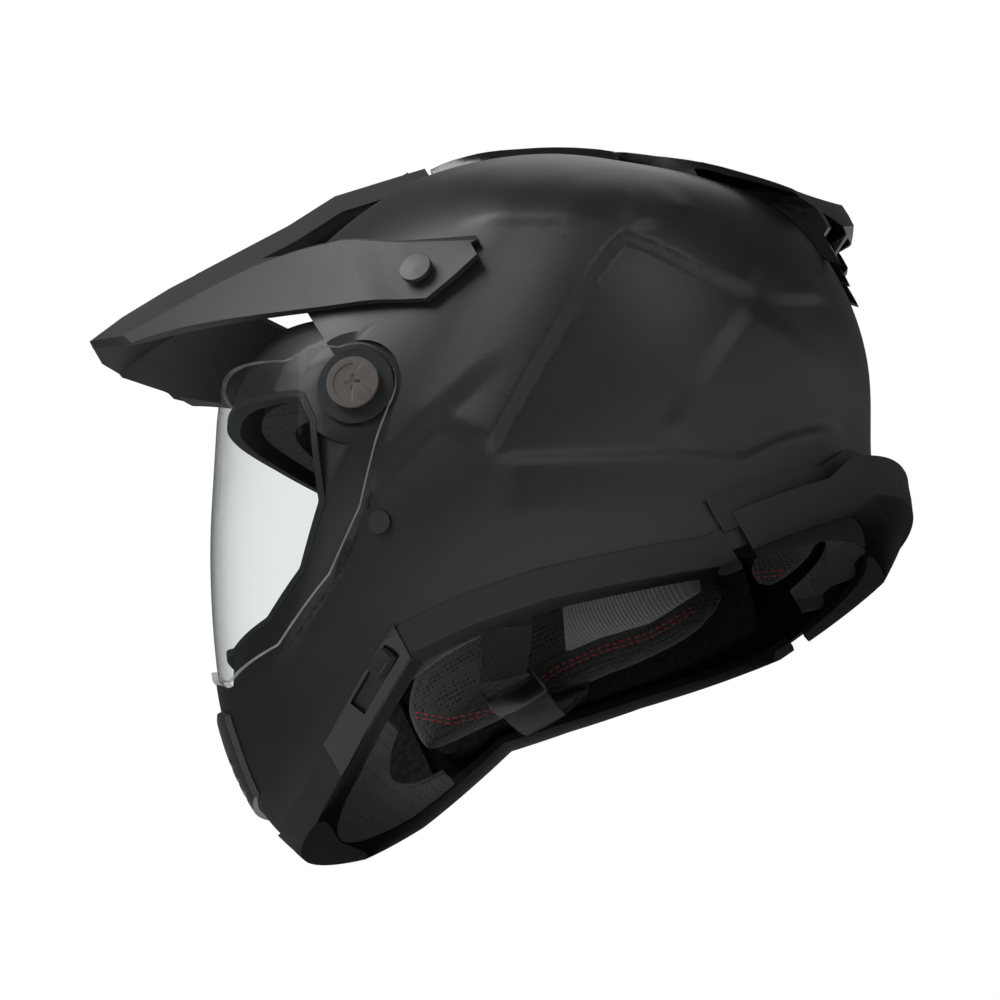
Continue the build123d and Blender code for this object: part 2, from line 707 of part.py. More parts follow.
PEAK_ROWS = (
    (-162, 272.5, 34, 264.0, 40, 256.0),
    (-137, 276.0, 42, 254.5, 46, 250.0),
    (-110, 277.0, 50, 253.6, 62, 236.0),
    (-86, 276.0, 62, 247.0, 82, 219.0),
    (-46, 273.5, 88, 229.4, 109, 193.2),
    (-22, 275.0, 102.5, 217.0, 120.5, 175.2),
    (2, 271.0, 113, 196.0, 126, 160.0),
    (34, 266.0, 121, 174.5, 126.5, 166.0),
)
TONGUE_ROWS = ((-96, 276.6), (-46, 275.0), (-20, 276.5), (24, 266.0))
TONGUE_TOP_AT_SCREW = 270.0


def peak_ring(row, wall):
    """Outline across the peak at one Y, drawn in by the wall."""
    y, top, crease_x, crease_z, low_x, low_z = row
    left = [(TONGUE_HALF - 0.3 * wall, top - wall), (crease_x - 0.7 * wall, crease_z - 0.9 * wall),
            (low_x - 1.05 * wall, low_z - 2.0 * wall)]
    points = left + [(-x, z) for x, z in reversed(left)]
    return Wire.make_polygon([(x, y, z) for x, z in points], close=True)


def make_peak():
    """Sun peak: a creased roof, two side arms and a hollow tongue that reaches the top vent."""
    outer = Solid.make_loft([peak_ring(row, 0.0) for row in PEAK_ROWS], ruled=True)
    inner = Solid.make_loft([peak_ring((row[0] + 0.01 * (i - 4),) + row[1:], PEAK_WALL)
                             for i, row in enumerate(PEAK_ROWS)], ruled=True)
    roof = outer - inner
    plan = Polyline((0, -158.6), (22, -156), (43, -137), (150, -80), (150, 60), (-150, 60), (-150, -80),
                    (-43, -137), (-22, -156), close=True)
    roof &= extrude(make_face(plan), amount=400)
    window = Polyline((TONGUE_HALF - 4, -94), (84, -50), (100, -22), (110.5, 2), (117, 40), (TONGUE_HALF - 4, 40),
                      close=True)
    opening = extrude(make_face(window), amount=400)
    for hole in both_sides(opening):
        roof -= hole
    roof -= extrude(Rectangle(2 * TONGUE_HALF, 300), amount=400) & Pos(0, 56, 0) * Box(400, 300, 900)
    arm_end = across(outline(((34, 150), (34, 175), (30.5, 175), (30.8, 166.6), (1.8, 158.8), (-4, 150))))
    roof -= arm_end
    tongue_rows, hollow_rows = [], []
    for y, top in TONGUE_ROWS:
        half = TONGUE_HALF
        tongue_rows.append(peak_band(y, half, top, top - TONGUE_DEPTH))
        hollow_rows.append(peak_band(y, half - PEAK_WALL, top - PEAK_WALL, top - TONGUE_DEPTH - 30))
    tongue = Solid.make_loft(tongue_rows, ruled=True) - Solid.make_loft(hollow_rows, ruled=True)
    peak = roof + tongue
    peak += Pos(0, CENTRE_SCREW_Y, TONGUE_TOP_AT_SCREW - PEAK_WALL / 2) * Box(36, 20, PEAK_WALL)
    peak -= Pos(0, CENTRE_SCREW_Y, 262) * Cylinder(SCREW_RADIUS + 0.1, 60)
    boss_room = TONGUE_TOP_AT_SCREW - PEAK_WALL - CENTRE_BOSS_ROOM / 2
    peak -= Pos(0, CENTRE_SCREW_Y, boss_room) * Cylinder(CENTRE_BOSS_RADIUS + SEAT_GAP, CENTRE_BOSS_ROOM)
    peak -= Pos(0, CENTRE_SCREW_Y, TONGUE_TOP_AT_SCREW + 5.0) * Cylinder(CENTRE_HEAD_RADIUS + SEAT_GAP, 10.0)
    for boss in both_sides(side_boss(SEAT_GAP)):
        peak -= boss
    for place in both_sides(peak_screw_place() * Cylinder(SCREW_RADIUS + 0.1, 60)):
        peak -= place
    return peak - body_form(-2 * SEAT_GAP)


def peak_band(y, half, top, base):
    """Box outline across the tongue at one Y."""
    return Wire.make_polygon([(half, y, top), (half, y, base), (-half, y, base), (-half, y, top)], close=True)


def make_peak_screws():
    """Two side screws with rosette heads, and the screw under the top of the tongue."""
    head = Pos(0, 0, 2.2 + SCREW_HEAD_THICK / 2) * Cylinder(SCREW_HEAD_RADIUS, SCREW_HEAD_THICK)
    shank = Pos(0, 0, -3.5) * Cylinder(SCREW_RADIUS, 11.4)
    screw = peak_screw_place() * (head + shank - Pos(0, 0, 5) * extrude(RegularPolygon(2.0, 6), amount=2))
    centre = Pos(0, CENTRE_SCREW_Y, TONGUE_TOP_AT_SCREW + 1.0) * Cylinder(CENTRE_HEAD_RADIUS, 2.0)
    centre += Pos(0, CENTRE_SCREW_Y, TONGUE_TOP_AT_SCREW - 5.5) * Cylinder(SCREW_RADIUS, 13.0)
    left, right = both_sides(screw)
    return left, right, centre


# Vents

VENT_ROWS = ((VENT_FRONT, 264.5), (50, 259.5), (68, 251.0), (85, 241.5), (VENT_REAR, 226.0))


def crest_ring(y, top, half_top, half_base, drop):
    """Outline across the raised crest at one Y."""
    points = [(half_top, top), (half_base, top - drop), (-half_base, top - drop), (-half_top, top)]
    return Wire.make_polygon([(x, y, z) for x, z in points], close=True)


def vent_slope():
    """Place on the top vent where its slider runs, with Y along the slope."""
    return Location((0, 77, 245.2)) * Rot(-29.5, 0, 0)


def make_top_vent():
    """Raised vent cover on the crown with louvres and a bay for its slider."""
    rings = [crest_ring(y, top, VENT_HALF_TOP, VENT_HALF_BASE, 22.0) for y, top in VENT_ROWS]
    cover = Solid.make_loft(rings, ruled=True) - body_form(-SEAT_GAP)
    for i in range(3):
        cover -= Pos(0, VENT_FRONT + 10 + 9 * i, 262 - 3.0 * i) * Rot(24, 0, 0) * Box(30, 3.2, 14)
    cover -= vent_slope() * Box(14.8, 12.0 + VENT_TRAVEL + 1.0, 7.0)
    return cover


def make_top_vent_slider():
    """Ribbed slider that opens the top vent."""
    slider = Box(14, 12, 4.4)
    for i in range(3):
        slider += Pos(0, -3.5 + 3.5 * i, 2.7) * Box(11, 1.4, 1.4)
    return vent_slope() * Pos(0, -VENT_TRAVEL / 2, -0.8) * slider


SPOILER_ROWS = ((VENT_REAR + SEAT_GAP, 226.0, 21, 225.0), (122, 213.0, 38, 205.0), (138, 199.0, 46, 188.0),
                (152, 184.5, 46, 173.5), (170, 167.0, 46, 152.0), (HALF_LENGTH + 3, 151.5, 46, 134.0))


def make_spoiler():
    """Rear wing over the exhaust vents, on a middle fin and two legs."""
    rings = []
    for y, crown, half, edge in SPOILER_ROWS:
        half = half * SPOILER_HALF / 46.0
        points = [(0, crown), (half, edge), (half - 3, edge - 34), (-half + 3, edge - 34), (-half, edge)]
        rings.append(Wire.make_polygon([(x, y, z) for x, z in points], close=True))
    wing = Solid.make_loft(rings, ruled=True)
    reach = HALF_LENGTH
    plan = Polyline((0, reach), (SPOILER_HALF, 168), (60, 100), (-60, 100), (-SPOILER_HALF, 168), close=True)
    wing &= extrude(make_face(plan), amount=400)
    rows = ((134, 194), (138, 190), (152, 175.5), (170, 156), (190, 137), (200, 60), (134, 60))
    under = outline([(y, z - SPOILER_PLATE) for y, z in rows])
    for inner, outer in ((31.0, 80.0), (2.2, 27.0)):
        for cut in both_sides(across(under, inner, outer)):
            wing -= cut
    foot = across(outline(((171, 60), (171, 133), (200, 150), (200, 60))))
    wing -= foot
    return wing - body_form(-SEAT_GAP)


def make_chin_vent():
    """Louvred cover on the front of the chin bar."""
    grow = HALF_LENGTH - CHIN_REACH
    skin = body_form(-grow) - body_form(-SEAT_GAP)
    half = CHIN_VENT_HALF
    shape = front_outline(((-half, CHIN_VENT_TOP - 6), (-half + 8, CHIN_VENT_TOP), (half - 8, CHIN_VENT_TOP),
                           (half, CHIN_VENT_TOP - 6), (half - 14, CHIN_VENT_BASE), (14 - half, CHIN_VENT_BASE)))
    cover = skin & extrude(Pos(0, -100, 0) * shape, amount=140, dir=(0, -1, 0))
    for i in range(3):
        cover -= Pos(0, -CHIN_REACH, 38 + 7.5 * i) * Box(46 - 4 * (2 - i), 40, 3.6)
    cover -= Pos(0, -CHIN_REACH, 64.5) * Box(13 + CHIN_KNOB_TRAVEL, 40, 6.0)
    return cover


def make_chin_knob():
    """Small knob that slides sideways to shut the chin vent."""
    front = HALF_LENGTH
    knob = Pos(-CHIN_KNOB_TRAVEL / 2, -front + 2.6, 64.5) * Box(12, 3.2, 5.0)
    for i in range(3):
        knob += Pos(-CHIN_KNOB_TRAVEL / 2 - 3 + 3 * i, -front + 0.8, 64.5) * Box(1.2, 1.6, 4.0)
    return knob


# Lever of the sun visor

def lever_place(y, z):
    """Place of the middle of the knob over the form's left side."""
    return Vector(skin_x(y, z) + KNOB_RISE, y - 0.45 * KNOB_RISE, z)


def lever_line():
    """Unit direction of the knob's travel, towards the chin."""
    return (lever_place(*LEVER_LOW) - lever_place(*LEVER_HIGH)).normalized()


def make_lever_housing():
    """Gloss housing on the left of the rim, with a track for the knob."""
    outer = body_form(-LEVER_PROUD)
    housing = (outer - body_form(-SEAT_GAP)) & slab(-0.5, LEVER_HEIGHT) & lever_span(0.0)
    travel = lever_line() * (LEVER_TRAVEL / 2)
    centre = lever_place(*LEVER_HIGH) + travel
    housing -= ribbon_box(tuple(centre), tuple(lever_line()), 16.0, 12.0 + LEVER_TRAVEL + 2.0, 8.0)
    return housing


def make_lever_knob():
    """Ribbed knob that moves the sun visor."""
    line = tuple(lever_line())
    knob = ribbon_box(tuple(lever_place(*LEVER_HIGH)), line, KNOB_WIDE, 12.0, 6.8)
    for i in range(3):
        centre = lever_place(*LEVER_HIGH) + lever_line() * (-3.6 + 3.6 * i)
        knob += ribbon_box(tuple(centre), line, KNOB_WIDE + 1.6, 1.4, 5.6)
    return knob - body_form(-2 * SEAT_GAP)


# Straps and buckle, worn under the chin

def make_straps():
    """Webbing from each cheek to the buckle under the chin."""
    left = strap_strip(STRAP_ROUTE + ((36.2, -52, 15.0),), STRAP_WIDE, STRAP_THICK)
    right = strap_strip(STRAP_ROUTE + ((18, -52, 13.5), (-7.9, -52, 15.0)), STRAP_WIDE, STRAP_THICK)
    return left, mirror(right, about=Plane.YZ)


def make_buckle():
    """Ratchet buckle body, its lever and the pull tab."""
    x, y, z = BUCKLE_PLACE
    body = Pos(x, y, z) * Box(27, 24, 5)
    body += Pos(x - 9, y + 10.5, z + 4) * Box(6, 3, 6)
    body += Pos(x - 9, y - 10.5, z + 4) * Box(6, 3, 6)
    body -= Pos(x - 9, y, z + 5) * Rot(90, 0, 0) * Cylinder(1.6, 40)
    lever = Pos(x - 1.75, y, z + 5.2) * Box(17.5, 17, 3.4)
    lever += Pos(x - 9, y, z + 5) * Rot(90, 0, 0) * Cylinder(1.5, 17)
    tab = Pos(x + 13.8, y, z + 5.2) * Box(13, 12, 2.0)
    return body, lever, tab


def save(name, shape):
    """Writes one node's solids."""
    export_step(Compound(children=list(shape.solids())), "parts/" + name + ".step")


def main():
    """Builds every node and writes it."""
    save("outer_shell", make_outer_shell())
    for side, plug in zip(("left", "right"), make_plugs()):
        save("chin_bar_plug_" + side, plug)
    save("base_trim", make_base_trim())
    save("neck_skirt", make_neck_skirt())
    save("exhaust_grille", make_exhaust_grille())
    save("impact_liner", make_impact_liner())
    save("crown_liner", make_crown_liner())
    for name, maker in (("cheek_pad", make_cheek_pads), ("cheek_block", make_cheek_blocks),
                        ("pivot_plate", make_pivot_plates), ("pivot_disc", make_pivot_discs),
                        ("sun_visor_pin", make_sun_pivots)):
        for side, piece in zip(("left", "right"), maker()):
            save(name + "_" + side, piece)
    save("chin_liner", make_chin_liner())
    save("chin_curtain", make_chin_curtain())
    save("breath_deflector", make_breath_deflector())
    save("neck_roll", make_neck_roll())
    save("visor", make_visor())
    save("eye_port_seal", make_eye_port_seal())
    save("sun_visor", make_sun_visor())
    save("peak", make_peak())
    for name, screw in zip(("peak_screw_left", "peak_screw_right", "peak_screw_centre"), make_peak_screws()):
        save(name, screw)
    save("top_vent_cover", make_top_vent())
    save("top_vent_slider", make_top_vent_slider())
    save("rear_spoiler", make_spoiler())
    save("chin_vent_cover", make_chin_vent())
    save("chin_vent_knob", make_chin_knob())
    save("lever_housing", make_lever_housing())
    save("lever_knob", make_lever_knob())
    for name, piece in zip(("chin_strap_left", "chin_strap_right"), make_straps()):
        save(name, piece)
    for name, piece in zip(("buckle_body", "buckle_lever", "pull_tab"), make_buckle()):
        save(name, piece)


main()
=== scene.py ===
import logging
from dataclasses import dataclass
from enum import Enum
from math import cos, pi, radians, sin

import bmesh
import bpy
import numpy as np
from mathutils import Matrix, Vector
from mathutils.bvhtree import BVHTree


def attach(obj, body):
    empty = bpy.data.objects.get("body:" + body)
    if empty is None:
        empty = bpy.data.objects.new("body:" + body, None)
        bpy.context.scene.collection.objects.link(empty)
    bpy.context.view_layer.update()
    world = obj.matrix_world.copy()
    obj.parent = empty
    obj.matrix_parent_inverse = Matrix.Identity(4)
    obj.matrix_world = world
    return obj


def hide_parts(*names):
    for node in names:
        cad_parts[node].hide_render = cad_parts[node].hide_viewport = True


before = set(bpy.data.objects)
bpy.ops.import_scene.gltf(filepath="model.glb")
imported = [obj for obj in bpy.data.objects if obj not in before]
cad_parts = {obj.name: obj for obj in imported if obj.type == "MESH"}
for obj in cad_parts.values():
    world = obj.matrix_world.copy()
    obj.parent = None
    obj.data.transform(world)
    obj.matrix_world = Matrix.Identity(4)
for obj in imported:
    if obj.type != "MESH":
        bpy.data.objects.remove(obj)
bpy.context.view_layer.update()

LOG = logging.getLogger("helmet")
MM = 0.001
SMOOTH_ANGLE = 34.0
MOST_HALVINGS = 7
TINY = 1e-18

Colour = tuple[float, float, float]
Spot = tuple[float, float]


class Slot(Enum):
    """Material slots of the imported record."""

    SHELL = "shell"
    TRIM = "trim"
    RUBBER = "rubber"
    GRILLE = "grille"
    FOAM = "foam"
    LINING = "lining"
    MESH = "mesh"
    PIVOT = "pivot"
    PEAK = "peak"
    GLOSS = "gloss"
    WEBBING = "webbing"
    BUCKLE = "buckle"
    CLEAR = "clear"
    TINT = "tint"
    TAB = "tab"


class Num:
    """A number that a shader works out, kept as one socket."""

    def __init__(self, tree: "Tree", socket: bpy.types.NodeSocket) -> None:
        """Keeps the tree and the socket."""
        self.tree = tree
        self.socket = socket

    def _math(self, operation: str, first: object, second: object) -> "Num":
        """Adds one Math node.

        Args:
            operation: the node's operation.
            first: its first value or number.
            second: its second value or number.

        Returns:
            The node's result.
        """
        node = self.tree.node("ShaderNodeMath", {"operation": operation}, {0: first, 1: second})
        return Num(self.tree, node.outputs[0])

    def __add__(self, other: object) -> "Num":
        """Sum."""
        return self._math("ADD", self, other)

    __radd__ = __add__

    def __sub__(self, other: object) -> "Num":
        """Difference."""
        return self._math("SUBTRACT", self, other)

    def __rsub__(self, other: object) -> "Num":
        """Difference from the left."""
        return self._math("SUBTRACT", other, self)

    def __mul__(self, other: object) -> "Num":
        """Product."""
        return self._math("MULTIPLY", self, other)

    __rmul__ = __mul__

    def __pow__(self, other: object) -> "Num":
        """Power."""
        return self._math("POWER", self, other)

    def apply(self, operation: str, other: object = 0.0) -> "Num":
        """Any other Math operation on this value."""
        return self._math(operation, self, other)


class Tree:
    """Node tree of a material or a world."""

    def __init__(self, owner: bpy.types.Material | bpy.types.World) -> None:
        """Empties the owner's tree and keeps it."""
        owner.use_nodes = True
        self.nodes = owner.node_tree.nodes
        self.links = owner.node_tree.links
        self.nodes.clear()

    def node(self, kind: str, settings: dict | None = None,
             sockets: dict | None = None) -> bpy.types.Node:
        """Adds one node.

        Args:
            kind: the node's type.
            settings: its settings, by name.
            sockets: values or links of its sockets, by name or number.

        Returns:
            The node.
        """
        made = self.nodes.new(kind)
        for key, value in (settings or {}).items():
            setattr(made, key, value)
        for key, value in (sockets or {}).items():
            value = value.socket if isinstance(value, Num) else value
            if isinstance(value, bpy.types.NodeSocket):
                self.links.new(value, made.inputs[key])
            else:
                made.inputs[key].default_value = value
        return made

    def place(self) -> bpy.types.NodeSocket:
        """The object's own coordinates, in metres."""
        return self.node("ShaderNodeTexCoord").outputs["Object"]

    def noise(self, size: float, detail: float = 3.0) -> Num:
        """Cloudy noise whose patches have a size in metres."""
        made = self.node("ShaderNodeTexNoise", None,
                         {"Vector": self.place(), "Scale": 1.0 / size, "Detail": detail})
        return Num(self, made.outputs["Fac"])

    def cells(self, size: float, loose: float, feature: str = "F1") -> Num:
        """Distance inside cells of a size in metres, loosely or evenly spaced."""
        made = self.node("ShaderNodeTexVoronoi", {"feature": feature},
                         {"Vector": self.place(), "Scale": 1.0 / size, "Randomness": loose})
        return Num(self, made.outputs["Distance"])

    def axis(self, name: str) -> Num:
        """One coordinate of the object, in metres."""
        made = self.node("ShaderNodeSeparateXYZ", None, {0: self.place()})
        return Num(self, made.outputs[name])

    def mix(self, amount: Num, dark: Colour, light: Colour) -> bpy.types.NodeSocket:
        """Blend of two colours.

        Args:
            amount: share of the second colour.
            dark: the first colour.
            light: the second colour.

        Returns:
            The blended colour's socket.
        """
        made = self.node("ShaderNodeMix", {"data_type": "RGBA"},
                         {0: amount, 6: (*dark, 1.0), 7: (*light, 1.0)})
        return made.outputs[2]

    def bump(self, height: Num, depth: float) -> bpy.types.NodeSocket:
        """Normal raised by a height of up to a depth in metres."""
        made = self.node("ShaderNodeBump", None,
                         {"Strength": 1.0, "Distance": depth, "Height": height})
        return made.outputs["Normal"]

    def shader(self, kind: str, sockets: dict | None = None) -> bpy.types.NodeSocket:
        """Result of one shader node, whose type lacks its usual start."""
        return self.node("ShaderNode" + kind, None, sockets).outputs[0]

    def between(self, share: Num, first: bpy.types.NodeSocket,
                second: bpy.types.NodeSocket) -> bpy.types.NodeSocket:
        """Mix of two shaders, by the share of the second."""
        return self.shader("MixShader", {0: share, 1: first, 2: second})

    def output(self, surface: bpy.types.NodeSocket, kind: str = "OutputMaterial") -> None:
        """Joins a shader to the material's or the world's output."""
        self.node("ShaderNode" + kind, None, {"Surface": surface})


def grey(value: float) -> Colour:
    """Neutral colour."""
    return (value, value, value)


@dataclass(frozen=True)
class Finish:
    """A material; each kind of finish lays its own nodes."""

    name: str

    def make(self) -> bpy.types.Material:
        """Builds the material."""
        material = bpy.data.materials.new(self.name)
        self.lay(Tree(material))
        return material

    def lay(self, tree: Tree) -> None:
        """Adds the finish's nodes to an empty tree."""
        raise NotImplementedError


@dataclass(frozen=True)
class Moulded(Finish):
    """Moulded plastic or rubber with a fine grain, cloudy sheen and faint dust."""

    colour: Colour
    dust: Colour
    roughness: float
    grain_size: float = 0.6 * MM
    grain_depth: float = 0.03 * MM
    specular: float = 0.5
    coat: float = 0.0

    def lay(self, tree: Tree) -> None:
        """Lays dust and a cloudy sheen over the grain."""
        cloud = tree.noise(0.045, 4.0)
        grain = tree.noise(self.grain_size, 2.0)
        sheen = cloud * 0.12 + grain * 0.10 + (self.roughness - 0.11)
        tree.output(tree.shader("BsdfPrincipled", {
            "Base Color": tree.mix(cloud * 0.6 + grain * 0.3, self.colour, self.dust),
            "Roughness": sheen, "Specular IOR Level": self.specular,
            "Coat Weight": self.coat, "Coat Roughness": 0.12,
            "Normal": tree.bump(grain, self.grain_depth)}))


@dataclass(frozen=True)
class Knitted(Finish):
    """Honeycomb mesh fabric: round holes in even rows over a darker backing."""

    yarn: Colour
    hole: Colour
    pitch: float
    depth: float = 0.5 * MM
    roughness: float = 0.85

    def lay(self, tree: Tree) -> None:
        """Lays the walls between the holes, with a little fibre on them."""
        wall = (tree.cells(self.pitch, 0.25) * 2.2).apply("MINIMUM", 1.0) ** 3.0
        fibre = tree.noise(0.0004, 2.0)
        cloud = tree.noise(0.03, 3.0)
        tree.output(tree.shader("BsdfPrincipled", {
            "Base Color": tree.mix(wall * 0.75 + fibre * 0.2 + cloud * 0.15, self.hole, self.yarn),
            "Roughness": fibre * 0.1 + self.roughness, "Sheen Weight": 0.3, "Sheen Roughness": 0.5,
            "Normal": tree.bump(wall + fibre * 0.25, self.depth)}))


@dataclass(frozen=True)
class Woven(Finish):
    """Plain woven cloth or webbing with fine ribs across it."""

    colour: Colour
    light: Colour
    rib: float
    roughness: float = 0.8
    depth: float = 0.3 * MM

    def lay(self, tree: Tree) -> None:
        """Lays ribs that run both ways, with fibre between them."""
        turns = 2 * pi / self.rib
        across = ((tree.axis("Y") + tree.axis("X")) * turns).apply("SINE") * 0.5 + 0.5
        ribs = across * ((tree.axis("Z") * turns).apply("SINE") * 0.25 + 0.75)
        fibre = tree.noise(0.0005, 2.0)
        tree.output(tree.shader("BsdfPrincipled", {
            "Base Color": tree.mix(ribs * 0.6 + fibre * 0.4, self.colour, self.light),
            "Roughness": fibre * 0.1 + self.roughness, "Sheen Weight": 0.25,
            "Normal": tree.bump(ribs + fibre * 0.4, self.depth)}))


@dataclass(frozen=True)
class Beaded(Finish):
    """Moulded bead foam."""

    colour: Colour
    light: Colour
    bead: float = 3.4 * MM

    def lay(self, tree: Tree) -> None:
        """Lays round beads, lighter at their middles."""
        bead = tree.cells(self.bead, 1.0)
        tree.output(tree.shader("BsdfPrincipled", {
            "Base Color": tree.mix(bead * 0.9 + tree.noise(0.02) * 0.3, self.light, self.colour),
            "Roughness": bead * 0.15 + 0.7, "Normal": tree.bump(1.0 - bead, 0.0004)}))


@dataclass(frozen=True)
class Sheer(Finish):
    """Clear or tinted sheet: it lets light through and shines more towards its edges."""

    tint: Colour
    shine: float
    haze: float = 0.02

    def lay(self, tree: Tree) -> None:
        """Mixes a see-through shader with a shiny one by the slant of the surface."""
        smear = tree.noise(0.06, 3.0)
        weight = tree.node("ShaderNodeLayerWeight", None, {"Blend": 0.5})
        slant = Num(tree, weight.outputs["Facing"]) ** 4.0
        amount = (slant * 0.9 + self.shine + smear * 0.02).apply("MINIMUM", 1.0)
        through = tree.shader("BsdfTransparent", {"Color": (*self.tint, 1.0)})
        shiny = tree.shader("BsdfPrincipled", {
            "Base Color": (0.02, 0.02, 0.02, 1.0), "Roughness": smear * 0.04 + self.haze})
        tree.output(tree.between(amount, through, shiny))


@dataclass(frozen=True)
class PaintedGlowEdge(Finish):
    """Cut edge of a clear sheet, with painted light: its pale colour stands in for the light that
    leaves the edge, so it is bright there.
    """

    # Dim and bright parts of the painted light on the edge.
    dark: Colour = (0.35, 0.37, 0.39)
    light: Colour = (0.75, 0.78, 0.8)

    def lay(self, tree: Tree) -> None:
        """Lays painted bright streaks, standing in for light leaving the edge, that are half
        clear.
        """
        painted_glow_streak = tree.noise(0.012, 3.0)
        tree.output(tree.shader("BsdfPrincipled", {
            # Base colour is painted light: pale streaks where light would leave the cut edge.
            "Base Color": tree.mix(painted_glow_streak, self.dark, self.light),
            "Roughness": painted_glow_streak * 0.2 + 0.12, "Alpha": painted_glow_streak * 0.3 + 0.55,
            "Specular IOR Level": 0.7}))


@dataclass(frozen=True)
class Paper(Finish):
    """Pale backdrop that is clear from below and lets lamps under it shine through."""

    dark: Colour
    light: Colour

    def lay(self, tree: Tree) -> None:
        """Mixes the pale surface with a clear one for its back and for shadow rays."""
        grain = tree.noise(0.2, 3.0)
        pale = tree.shader("BsdfPrincipled", {
            "Base Color": tree.mix(grain, self.dark, self.light), "Roughness": grain * 0.1 + 0.7})
        below = Num(tree, tree.node("ShaderNodeNewGeometry").outputs["Backfacing"])
        shadow = tree.node("ShaderNodeLightPath").outputs["Is Shadow Ray"]
        clear = tree.shader("BsdfTransparent")
        tree.output(tree.between(below.apply("MAXIMUM", shadow), pale, clear))


class Wardrobe:
    """All finishes of the helmet, each made once."""

    def __init__(self) -> None:
        """Makes the finish of each slot, and three more for the trimming: the patch, the thread
        and the sheets' cut edges, whose colour is painted light.
        """
        finishes = {
            Slot.SHELL: Moulded("shell_matt", (0.005, 0.005, 0.0049), (0.013, 0.0125, 0.0115),
                                0.42, 0.7 * MM, 0.04 * MM),
            Slot.PEAK: Moulded("peak_matt", (0.012, 0.0117, 0.0115), (0.027, 0.0262, 0.0255),
                               0.52, 0.8 * MM, 0.05 * MM),
            Slot.RUBBER: Moulded("rubber_grained", grey(0.006), (0.02, 0.0195, 0.019),
                                 0.62, 1.2 * MM, 0.12 * MM, 0.4),
            Slot.TRIM: Moulded("trim_satin", grey(0.012), (0.03, 0.03, 0.029), 0.38),
            Slot.GLOSS: Moulded("gloss_black", grey(0.003), grey(0.006), 0.16,
                                3.0 * MM, 0.01 * MM, 0.6, 0.3),
            Slot.GRILLE: Moulded("grille_grey", (0.14, 0.135, 0.13), (0.24, 0.235, 0.23), 0.5),
            Slot.PIVOT: Moulded("pivot_grey", (0.055, 0.048, 0.042), (0.1, 0.09, 0.08),
                                0.36, 0.6 * MM, 0.03 * MM, 0.6),
            Slot.FOAM: Beaded("bead_foam", grey(0.006), grey(0.03)),
            Slot.LINING: Knitted("lining_honeycomb", grey(0.045), grey(0.008), 2.4 * MM),
            Slot.MESH: Knitted("curtain_mesh", grey(0.04), grey(0.004), 2.5 * MM),
            Slot.WEBBING: Woven("black_webbing", grey(0.008), grey(0.03), 1.2 * MM),
            Slot.BUCKLE: Moulded("buckle_black", grey(0.01), grey(0.02), 0.3),
            Slot.TAB: Woven("red_tab", (0.28, 0.008, 0.008), (0.55, 0.03, 0.025), 1.1 * MM),
            Slot.CLEAR: Sheer("clear_sheet", (0.93, 0.95, 0.955), 0.045),
            Slot.TINT: Sheer("smoke_sheet", (0.28, 0.28, 0.29), 0.06),
        }
        self.of_slot = {slot: finish.make() for slot, finish in finishes.items()}
        self.patch = Woven("grey_patch", grey(0.3), (0.52, 0.52, 0.51), 1.6 * MM).make()
        self.thread = Woven("red_thread", (0.5, 0.012, 0.01), (0.85, 0.06, 0.05), 0.6 * MM).make()
        # Cut edges of the sheets, coloured with painted light.
        self.edge = PaintedGlowEdge("clear_edge_painted_glow").make()


